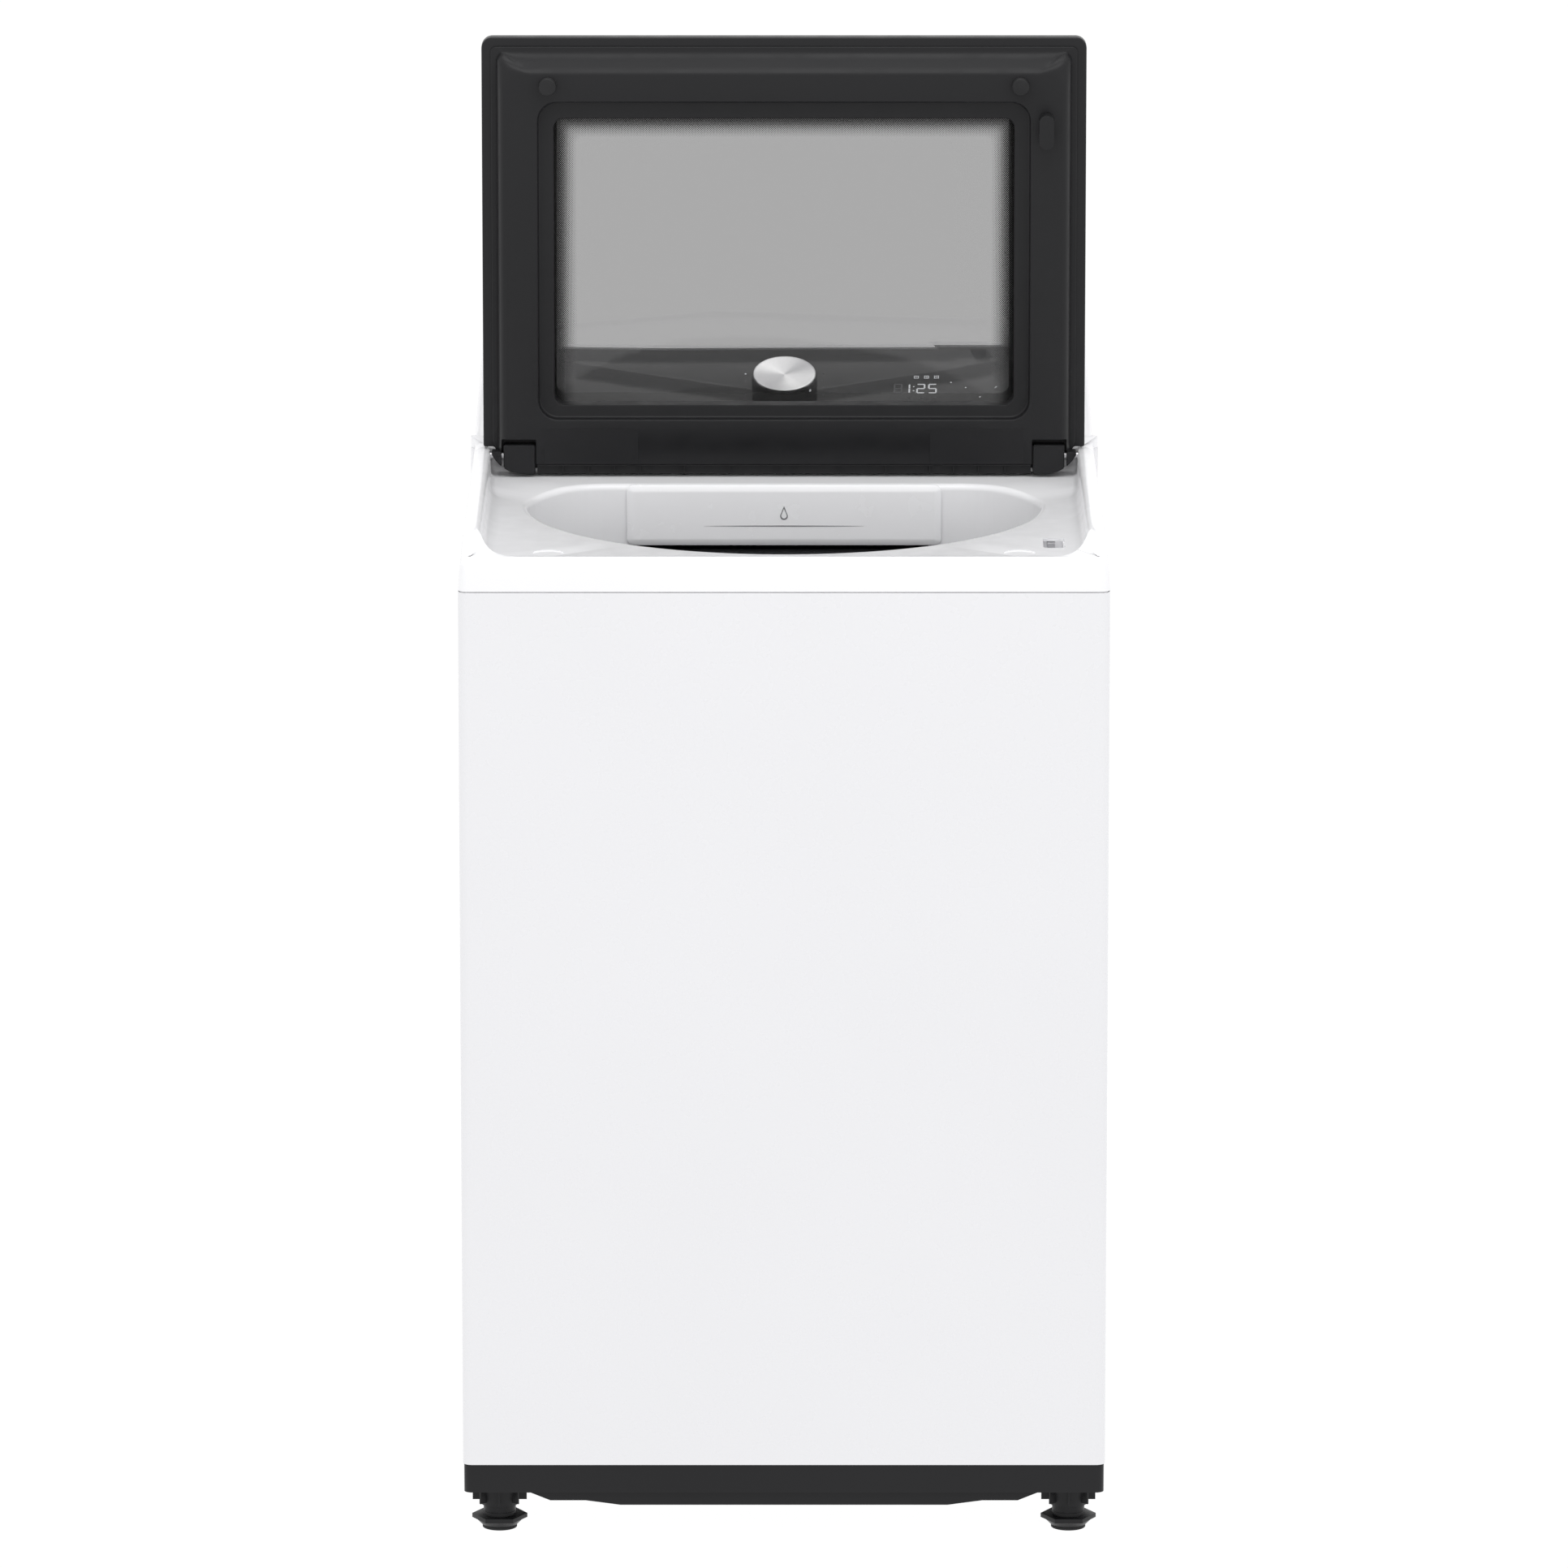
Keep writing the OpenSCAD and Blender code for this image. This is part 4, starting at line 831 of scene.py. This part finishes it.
def build_drawer_marks():
    """A plain droplet over a thin line that thins out towards its ends."""
    low, high = box_mm("drawer_front")
    face_y = low.y
    proud_y = face_y - MARK_PROUD
    middle_z = (low.z + high.z) / 2
    bm = bmesh.new()
    drop_z = middle_z + 1
    outline = arc((0, drop_z - 1.5), DROP_R, 150, 390, 20) + [Vector((0, drop_z + DROP_TIP))]
    hollow = [Vector((p.x * DROP_INNER, drop_z + (p.y - drop_z) * DROP_INNER)) for p in outline]
    front = [bm.verts.new((p.x, proud_y, p.y)) for p in outline]
    back = [bm.verts.new((p.x, face_y + 0.5, p.y)) for p in outline]
    inner = [bm.verts.new((p.x, proud_y, p.y)) for p in hollow]
    sunk = [bm.verts.new((p.x, face_y + 0.5, p.y)) for p in hollow]
    for i in range(len(outline)):
        j = (i + 1) % len(outline)
        bm.faces.new((front[i], front[j], back[j], back[i]))
        bm.faces.new((front[j], front[i], inner[i], inner[j]))
        bm.faces.new((inner[j], inner[i], sunk[i], sunk[j]))
    line_z = middle_z - LINE_DOWN
    rings = []
    for i in range(LINE_STEPS + 1):
        x = -LINE_HALF + 2 * LINE_HALF * i / LINE_STEPS
        half_t = 0.55 * (1 - (x / LINE_HALF) ** 2) + 0.04
        corners = ((face_y + 0.3, -half_t), (proud_y, -half_t), (proud_y, half_t), (face_y + 0.3, half_t))
        rings.append([Vector((x, y, line_z + up)) for y, up in corners])
    skin(bm, rings)
    finish_mesh("drawer_marks", "drawer", "white_matte", bm, material=PRINT_GREY)


build_drawer_front()
build_drawer_marks()


# ---------- control panel marks and knob ----------

def panel_place(x, down):
    """A place on the panel, x across and down the slope from the knob's axis, with z out of it."""
    origin = KNOB + Vector((x, 0, 0)) + PANEL_DOWN * down
    across = Vector((1, 0, 0))
    up = -PANEL_DOWN
    turn = Matrix((across, up, PANEL_NORMAL)).transposed().to_4x4()
    return Matrix.Translation(origin) @ turn


MARK_THICK = 0.12


def dot(bm, x, down, radius, sides=12):
    """A thin disc on the panel."""
    place = panel_place(x, down)
    made = bmesh.ops.create_circle(bm, cap_ends=True, segments=sides, radius=radius)["verts"]
    face = made[0].link_faces[0]
    lifted = bmesh.ops.extrude_face_region(bm, geom=[face])["geom"]
    for item in lifted:
        if isinstance(item, bmesh.types.BMVert):
            item.co.z += MARK_THICK
            made.append(item)
    for vert in set(made):
        vert.co = place @ vert.co


# Strokes of a seven-segment digit: place across, place up, whether upright
SEGMENTS = {
    "a": (0, 1, False), "b": (1, 0.5, True), "c": (1, -0.5, True), "d": (0, -1, False),
    "e": (-1, -0.5, True), "f": (-1, 0.5, True), "g": (0, 0, False),
}
DIGITS = {"1": "bc", "2": "abged", "5": "afgcd", "8": "abcdefg"}


DIGIT_DOWN = -8.2
DIGIT_WIDTH = 9.5
DIGIT_HEIGHT = 18.0
STROKE = 1.7


def digit(bm, symbol, x, width=DIGIT_WIDTH):
    """A seven-segment digit in the display's row."""
    place = panel_place(x, DIGIT_DOWN)
    for key in DIGITS[symbol]:
        across, up, upright = SEGMENTS[key]
        cx = across * (width - STROKE) / 2
        cy = up * (DIGIT_HEIGHT - STROKE) / 2
        half_l = (DIGIT_HEIGHT / 2 - STROKE) / 2 if upright else (width - STROKE) / 2 - 0.2
        half_x, half_y = (STROKE / 2, half_l) if upright else (half_l, STROKE / 2)
        block(bm, (cx - half_x, cy - half_y, 0), (cx + half_x, cy + half_y, MARK_THICK), place)


def frame_icon(bm, x, down, size):
    """A small open square with a bar, a generic programme sign."""
    place = panel_place(x, down)
    half, line = size / 2, size * 0.14
    block(bm, (-half, -half, 0), (half, -half + line, MARK_THICK), place)
    block(bm, (-half, half - line, 0), (half, half, MARK_THICK), place)
    block(bm, (-half, -half, 0), (-half + line, half, MARK_THICK), place)
    block(bm, (half - line, -half, 0), (half, half, MARK_THICK), place)
    block(bm, (-half * 0.45, -line / 2, 0), (half * 0.45, line / 2, MARK_THICK), place)


# Places on the panel, across from and down the slope from the knob's axis
PROGRAMME_ROWS = (-37.4, -24.0, -10.0, 3.9)
PROGRAMME_LEFT = -41.8
PROGRAMME_RIGHT = 41.4
COLON_X = 138.4
COLON_ROWS = (-12.0, -4.0)
ICON_SIZE = 5.0
LIT_ICONS = ((140.6, -30.2), (151.4, -30.2), (162.1, -30.2))
DIM_ICONS = ((134.0, 11.0), (147.4, 11.0), (160.8, 11.0))
KEY_LAMPS = ((178, -20), (194, -10), (210, 8), (226, -10), (239, -12))
POWER_SIGN = (245, -40)


def build_panel_marks():
    """Display, lamps and generic signs, one piece for the lit ones and one for the dim ones."""
    lit = bmesh.new()
    dim = bmesh.new()
    for row, down in enumerate(PROGRAMME_ROWS):
        dot(lit if row == 0 else dim, PROGRAMME_LEFT, down, 1.0)
        dot(dim, PROGRAMME_RIGHT, down, 0.8)
    digit(lit, "1", 131.6, 6.0)
    for down in COLON_ROWS:
        dot(lit, COLON_X, down, 0.9)
    digit(lit, "2", 146.0)
    digit(lit, "5", 158.5)
    digit(dim, "8", 121.7)
    for x, down in LIT_ICONS:
        frame_icon(lit, x, down, ICON_SIZE)
    for x, down in DIM_ICONS:
        frame_icon(dim, x, down, ICON_SIZE)
    for x, down in KEY_LAMPS:
        dot(lit, x, down, 0.9)
    dot(lit, *POWER_SIGN, 1.6, 3)
    finish_mesh("panel_marks_lit", "root", "black_gloss", lit, material=MARK_LIT)
    finish_mesh("panel_marks_dim", "root", "black_gloss", dim, material=MARK_DIM)


def turned(bm, profile, place, steps=72):
    """Revolves (radius, height) pairs round the z axis of a place."""
    turns = [2 * math.pi * i / steps for i in range(steps)]
    rings = []
    for radius, height in profile:
        circle = [Vector((radius * math.cos(turn), radius * math.sin(turn), height)) for turn in turns]
        rings.append([place @ point for point in circle])
    made = skin(bm, rings)
    cap(bm, made[-1])
    cap(bm, made[0])


KNOB_HEIGHT = 26.0
KNOB_CAP_INSET = 1.2
POINTER_ANGLE = math.radians(-38)
POINTER_R = 1.5
POINTER_DOWN = 8


def build_knob():
    """Black skirt, turned metal cap and a lit pointer at the skirt's edge."""
    low, high = box_mm("knob_body")
    radius = (high.x - low.x) / 2
    height = KNOB_HEIGHT
    place = panel_place(0, 0)
    bm = bmesh.new()
    turned(bm, [
        (radius - 4, 0.4), (radius - 0.6, 0.4), (radius, 1.2), (radius, height - 4.2),
        (radius - 0.4, height - 3.2), (radius - 1.1, height - 2.6), (radius - 6, height - 2.6),
    ], place)
    body = finish_mesh("knob_skirt", "knob", "black_gloss", bm)
    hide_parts("knob_body")

    bm = bmesh.new()
    cap_r = radius - KNOB_CAP_INSET
    turned(bm, [
        (cap_r - 0.6, height - 2.9), (cap_r, height - 2.2), (cap_r, height - 0.9),
        (cap_r - 0.35, height - 0.35), (cap_r - 1.2, height - 0.05), (cap_r - 3, height - 0.2),
        (cap_r * 0.5, height - 0.7), (1.0, height - 1.2),
    ], place, 120)
    top = finish_mesh("knob_cap_spun", "knob", "knob_metal", bm)
    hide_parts("knob_cap")

    bm = bmesh.new()
    out = radius - 0.2
    along = (math.cos(POINTER_ANGLE) * out, math.sin(POINTER_ANGLE) * out, height - POINTER_DOWN)
    spot = place @ Matrix.Translation(along)
    made = bmesh.ops.create_uvsphere(bm, u_segments=16, v_segments=10, radius=POINTER_R)["verts"]
    for vert in made:
        vert.co = spot @ vert.co
    finish_mesh("knob_pointer", "knob", "black_gloss", bm, material=MARK_LIT)


build_panel_marks()
build_knob()


# ---------- lid inner frame ----------

# Turns a shape drawn closed, with its depth behind the cabinet front as y, to the open lid
LID_OPEN = Matrix((
    (1, 0, 0, 0),
    (0, 0, 1, HINGE.y - HINGE.z),
    (0, -1, 0, HINGE.z + HINGE.y - FRONT_Y),
    (0, 0, 0, 1),
))
# Heights with the lid closed
FLANGE_Z = SEAM_Z + 58.5
FACE_Z = SEAM_Z + 39
RECESS_Z = FACE_Z + 12
GLASS_Z = SEAM_Z + 75
HINGE_DEPTH = HINGE.y - FRONT_Y
# Half widths of the flange, of the brim inside it and of the face below
FLANGE_HALF = 318
BRIM_HALF = 312
FACE_HALF = 301
FLANGE_THICK = 2.4
FLANGE_EDGE = 0.8
# The rear edge: covers, ribs and notches, then the hinge pockets and the curved corners
PLATE_X = (159.0, 261.0)
RIB_X = (-241, -213, -185, -157, -109, -60, -8, 11, 60, 111, 159, 185, 212, 241)
RIB_STRIP_X = (-269.0, 269.0)
NOTCH_X = ((-172.0, -162.5), (163.0, 173.5))
POCKET_X = (270.0, 308.0)
HEEL_X = 318.5
HEEL_R = 38.5
HEEL_CENTRE = Vector((284.0, HINGE_DEPTH - 20))
HEEL_BACK = HINGE_DEPTH + 18.5
# Wall thickness, edge radii and rings of the moulded frame
LID_WALL = 3.0
RECESS_EDGE_R = 2.0
RECESS_FOOT_R = 3.0
WINDOW_EDGE_R = 1.2
SCOOP_STEPS = 10
RIB_HALF = 0.7


def build_lid_inner():
    """Moulded inner frame: flange, hand scoop, face, window recess, hinge pockets and rear ribs."""
    back = HINGE_DEPTH + 9
    flange = rounded_outline(-FLANGE_HALF, FLANGE_HALF, LID_FRONT + 10, HINGE_DEPTH + 6, 6, 26)
    brim = rounded_outline(-BRIM_HALF, BRIM_HALF, LID_FRONT + 14, back, 12, 20)
    face = rounded_outline(-FACE_HALF, FACE_HALF, LID_FRONT + 39, back - 2, 20, 14)
    recess = rounded_outline(-WINDOW_HALF - RECESS_SIDE, WINDOW_HALF + RECESS_SIDE,
                             WINDOW_FRONT - 19, WINDOW_BACK + 14, 21, 21)
    window = rounded_outline(-WINDOW_HALF, WINDOW_HALF, WINDOW_FRONT, WINDOW_BACK, 11, 11)
    centre = Vector((0, (WINDOW_FRONT + WINDOW_BACK) / 2))
    angles = shared_angles([flange, brim, face, recess, window], centre, 90)
    count = len(angles)
    flat = [0.0] * count
    flange_at, flange_in = loop_of(flange, centre, angles)
    brim_at, brim_in = loop_of(brim, centre, angles)
    face_at, face_in = loop_of(face, centre, angles)
    recess_at, recess_in = loop_of(recess, centre, angles)
    window_at, window_in = loop_of(window, centre, angles)

    def level(z):
        return [z] * count

    rings = [
        ring_at(flange_at, flange_in, flat, level(FLANGE_Z + FLANGE_THICK)),
        ring_at(flange_at, flange_in, flat, level(FLANGE_Z + FLANGE_EDGE)),
        ring_at(flange_at, flange_in, [FLANGE_EDGE] * count, level(FLANGE_Z)),
    ]
    # From brim to face: a quarter circle, eased into the flatter hand scoop along the front
    for step in range(SCOOP_STEPS + 1):
        share = step / SCOOP_STEPS
        a = math.pi / 2 * step / SCOOP_STEPS
        ring = []
        for i in range(count):
            scoop = max(brim_in[i].y, 0.0) ** 4
            across = (1 - math.cos(a)) * (1 - scoop) + share * scoop
            down = math.sin(a) * (1 - scoop) + ease(share) * scoop
            place = brim_at[i].lerp(face_at[i], across)
            ring.append(Vector((place.x, place.y, FLANGE_Z + (FACE_Z - FLANGE_Z) * down)))
        rings.append(ring)
    for a in QUARTER:
        rings.append(ring_at(recess_at, recess_in, [RECESS_EDGE_R * (math.sin(a) - 1)] * count,
                             level(FACE_Z + RECESS_EDGE_R * (1 - math.cos(a)))))
    for a in QUARTER:
        rings.append(ring_at(recess_at, recess_in, [RECESS_FOOT_R * (1 - math.cos(a))] * count,
                             level(RECESS_Z - RECESS_FOOT_R * (1 - math.sin(a)))))
    for a in QUARTER:
        rings.append(ring_at(window_at, window_in, [WINDOW_EDGE_R * (math.sin(a) - 1)] * count,
                             level(RECESS_Z + WINDOW_EDGE_R * (1 - math.cos(a)))))
    behind = [-LID_WALL] * count
    rings += [
        ring_at(window_at, window_in, flat, level(GLASS_Z - 0.1)),
        ring_at(window_at, window_in, behind, level(GLASS_Z - 0.1)),
        ring_at(window_at, window_in, behind, level(FLANGE_Z + FLANGE_THICK)),
        rings[0],
    ]
    bm = bmesh.new()
    skin(bm, rings)
    bmesh.ops.remove_doubles(bm, verts=bm.verts, dist=WELD_MM)
    tools = []
    for side in (-1, 1):
        x0, x1 = sorted((side * POCKET_X[0], side * POCKET_X[1]))
        pocket = rounded_outline(x0, x1, HINGE_DEPTH - 20, back + 12, 1.5, 1.5, 3)
        tools.append(prism(pocket, FACE_Z - 4, FLANGE_Z - 0.4))
    bm = carved(bm, tools)
    bm.transform(LID_OPEN)
    frame_piece = finish_mesh("lid_inner_shaped", "lid", "black_plastic", bm, 38)
    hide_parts("lid_inner_frame")

    bm = bmesh.new()
    x0, x1 = RIB_STRIP_X
    block(bm, (x0, back - 1, FACE_Z + 5), (x1, HEEL_BACK, FLANGE_Z), LID_OPEN)
    for x in RIB_X:
        block(bm, (x - RIB_HALF, back - 0.6, FACE_Z + 1), (x + RIB_HALF, HEEL_BACK - 0.4, FACE_Z + 5.2),
              LID_OPEN)
    lip_ends = [x0] + [x for notch in NOTCH_X for x in notch] + [x1]
    for left, right in zip(lip_ends[::2], lip_ends[1::2]):
        block(bm, (left, back - 1.2, FACE_Z + 0.3), (right, back + 0.2, FACE_Z + 7.1), LID_OPEN)
    for side in (-1, 1):
        left, right = sorted((side * PLATE_X[0], side * PLATE_X[1]))
        block(bm, (left, HINGE_DEPTH - 32, FACE_Z - 0.35), (right, HINGE_DEPTH + 6.5, FACE_Z + 1), LID_OPEN)
    finish_mesh("lid_rear_ribs", "lid", "black_plastic", bm, 30)


def heel_outline(side, x0, x1, front, steps=12):
    """Outline of a piece at the lid's hinge corner, cut by the corner's curve."""
    curve = []
    for i in range(steps + 1):
        x = x0 + (x1 - x0) * i / steps
        across = max(x - HEEL_CENTRE.x, 0.0)
        depth = HEEL_CENTRE.y + math.sqrt(max(HEEL_R ** 2 - across ** 2, 0.0))
        curve.append((side * x, min(depth, HEEL_BACK)))
    outline = [(side * x0, front)] + curve + [(side * x1, front)]
    if side > 0:
        outline.reverse()
    return [Vector(point) for point in outline]


def join_into(target, part):
    """Adds one bmesh to another and frees it."""
    mesh = bpy.data.meshes.new("part")
    part.to_mesh(mesh)
    part.free()
    target.from_mesh(mesh)
    bpy.data.meshes.remove(mesh)


# Gaps of the hinge arms in their pockets, and how far arms and corners stand back from the face
ARM_GAP_INNER = 1.2
ARM_GAP_OUTER = 2.4
ARM_SUNK = 0.6
ARM_LOW = 0.4
HEEL_SUNK = 1.5
HEEL_EDGE_R = 1.0
HEEL_SHARP_ANGLE = 0.6


def build_lid_heels():
    """Hinge arms in their pockets and the curved corners of the inner frame beside them."""
    inner, outer = POCKET_X
    arms = bmesh.new()
    heels = bmesh.new()
    for side in (-1, 1):
        arm = heel_outline(side, inner + ARM_GAP_INNER, outer - ARM_GAP_OUTER, HINGE_DEPTH - 13.5)
        join_into(arms, prism(arm, FACE_Z + ARM_SUNK, FLANGE_Z - ARM_LOW, LID_OPEN))
        heel = heel_outline(side, outer, HEEL_X, HINGE_DEPTH - 6)
        join_into(heels, prism(heel, FACE_Z + HEEL_SUNK, FLANGE_Z, LID_OPEN))
    for bm in (arms, heels):
        bmesh.ops.recalc_face_normals(bm, faces=bm.faces)
        edges = [edge for edge in bm.edges if edge.calc_face_angle(0) > HEEL_SHARP_ANGLE]
        bmesh.ops.bevel(bm, geom=edges, offset=HEEL_EDGE_R, segments=3, affect="EDGES", clamp_overlap=True)
    arm_piece = finish_mesh("lid_arms_shaped", "lid", "black_plastic", arms, 38)
    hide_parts("lid_hinge_arms")
    finish_mesh("lid_heels", "lid", "black_plastic", heels, 38)


build_lid_inner()
build_lid_heels()


# ---------- rounded copies of CAD parts ----------

for node_name, width in (
    ("lid_outer_frame", 2.5),
    ("lid_glass", 0.6),
    ("lid_bumpers", 1.2),
    ("lid_strike", 2.0),
    ("control_panel", 0.6),
    ("console_rear_cover", 1.5),
    ("drawer_tray", 0.8),
    ("base_frame", 0.8),
):
    bevelled(node_name, width)
for place_name in ("front_left", "front_right", "rear_left", "rear_right"):
    bevelled("foot_" + place_name, 0.7)
    bevelled("pad_" + place_name, 0.6)


# ---------- plain copies of the springs and the drain bellows ---

def stretching(node):
    """A plain copy of a CAD part in its place, with the original hidden.
    """
    source = NODES[node]
    piece = bpy.data.objects.new(node + "_stretching", source.data.copy())
    bpy.context.scene.collection.objects.link(piece)
    piece.matrix_world = source.matrix_world.copy()
    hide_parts(node)
    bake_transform(piece)


for node_name in ("suspension_springs", "drain_bellows"):
    stretching(node_name)


# ---------- studio ----------

FLOOR_HALF = 30000.0
FLOOR_GLOW = 1.0
WORLD_GLOW = 1.03
# Name, place, target, size in metres and power in watts
LAMPS = (
    ("key", (-2.6, -4.2, 4.6), (0, 0, 0.9), 3.0, 6),
    ("fill", (3.2, -3.6, 3.0), (0, 0, 0.9), 2.6, 4),
    ("top", (0.0, 1.5, 4.4), (0, 0.25, 1.1), 1.6, 15),
    ("deck", (0.2, -1.0, 3.5), (0, 0, 1.0), 1.6, 17),
)


def build_studio():
    """White surroundings: a glowing floor, a plain sky and four soft lamps."""
    bm = bmesh.new()
    half = FLOOR_HALF
    floor_z = cad_bounds[0][2] / MM
    corners = [(-half, -half), (half, -half), (half, half), (-half, half)]
    bm.faces.new([bm.verts.new((x, y, floor_z)) for x, y in corners])
    bmesh.ops.scale(bm, vec=(MM, MM, MM), verts=bm.verts)
    mesh = bpy.data.meshes.new("floor")
    bm.to_mesh(mesh)
    bm.free()
    floor = bpy.data.objects.new("floor", mesh)
    bpy.context.scene.collection.objects.link(floor)
    paint = surface("floor_paint", (0.02, 0.02, 0.02), 0.8, 0.001, specular=0.0, depth=0.0)
    shader = next(n for n in paint.node_tree.nodes if n.type == "BSDF_PRINCIPLED")
    shader.inputs["Emission Color"].default_value = (1, 1, 1, 1)
    shader.inputs["Emission Strength"].default_value = FLOOR_GLOW
    mesh.materials.append(paint)
    world = bpy.data.worlds.new("studio")
    world.use_nodes = True
    sky = world.node_tree.nodes["Background"]
    sky.inputs["Color"].default_value = (1, 1, 1, 1)
    sky.inputs["Strength"].default_value = WORLD_GLOW
    bpy.context.scene.world = world
    for name, place, target, size, power in LAMPS:
        light = bpy.data.lights.new(name, "AREA")
        light.size = size
        light.energy = power
        lamp = bpy.data.objects.new(name, light)
        lamp.location = place
        lamp.rotation_euler = (Vector(target) - Vector(place)).to_track_quat("-Z", "Y").to_euler()
        bpy.context.scene.collection.objects.link(lamp)


CAMERA_DISTANCE = 12.0
CAMERA_HEIGHT = 3.465
CAMERA_PITCH = 12.4
CAMERA_LENS = 267.58
CAMERA_SENSOR = 36
CAMERA_REACH = 100


def build_camera():
    data = bpy.data.cameras.new("camera")
    data.lens = CAMERA_LENS
    data.sensor_width = CAMERA_SENSOR
    data.clip_end = CAMERA_REACH
    camera = bpy.data.objects.new("camera", data)
    camera.location = (0, FRONT_Y * MM - CAMERA_DISTANCE, CAMERA_HEIGHT)
    camera.rotation_euler = (math.radians(90 - CAMERA_PITCH), 0, 0)
    bpy.context.scene.collection.objects.link(camera)
    bpy.context.scene.camera = camera


build_studio()
build_camera()
bpy.context.scene.view_settings.view_transform = "Standard"
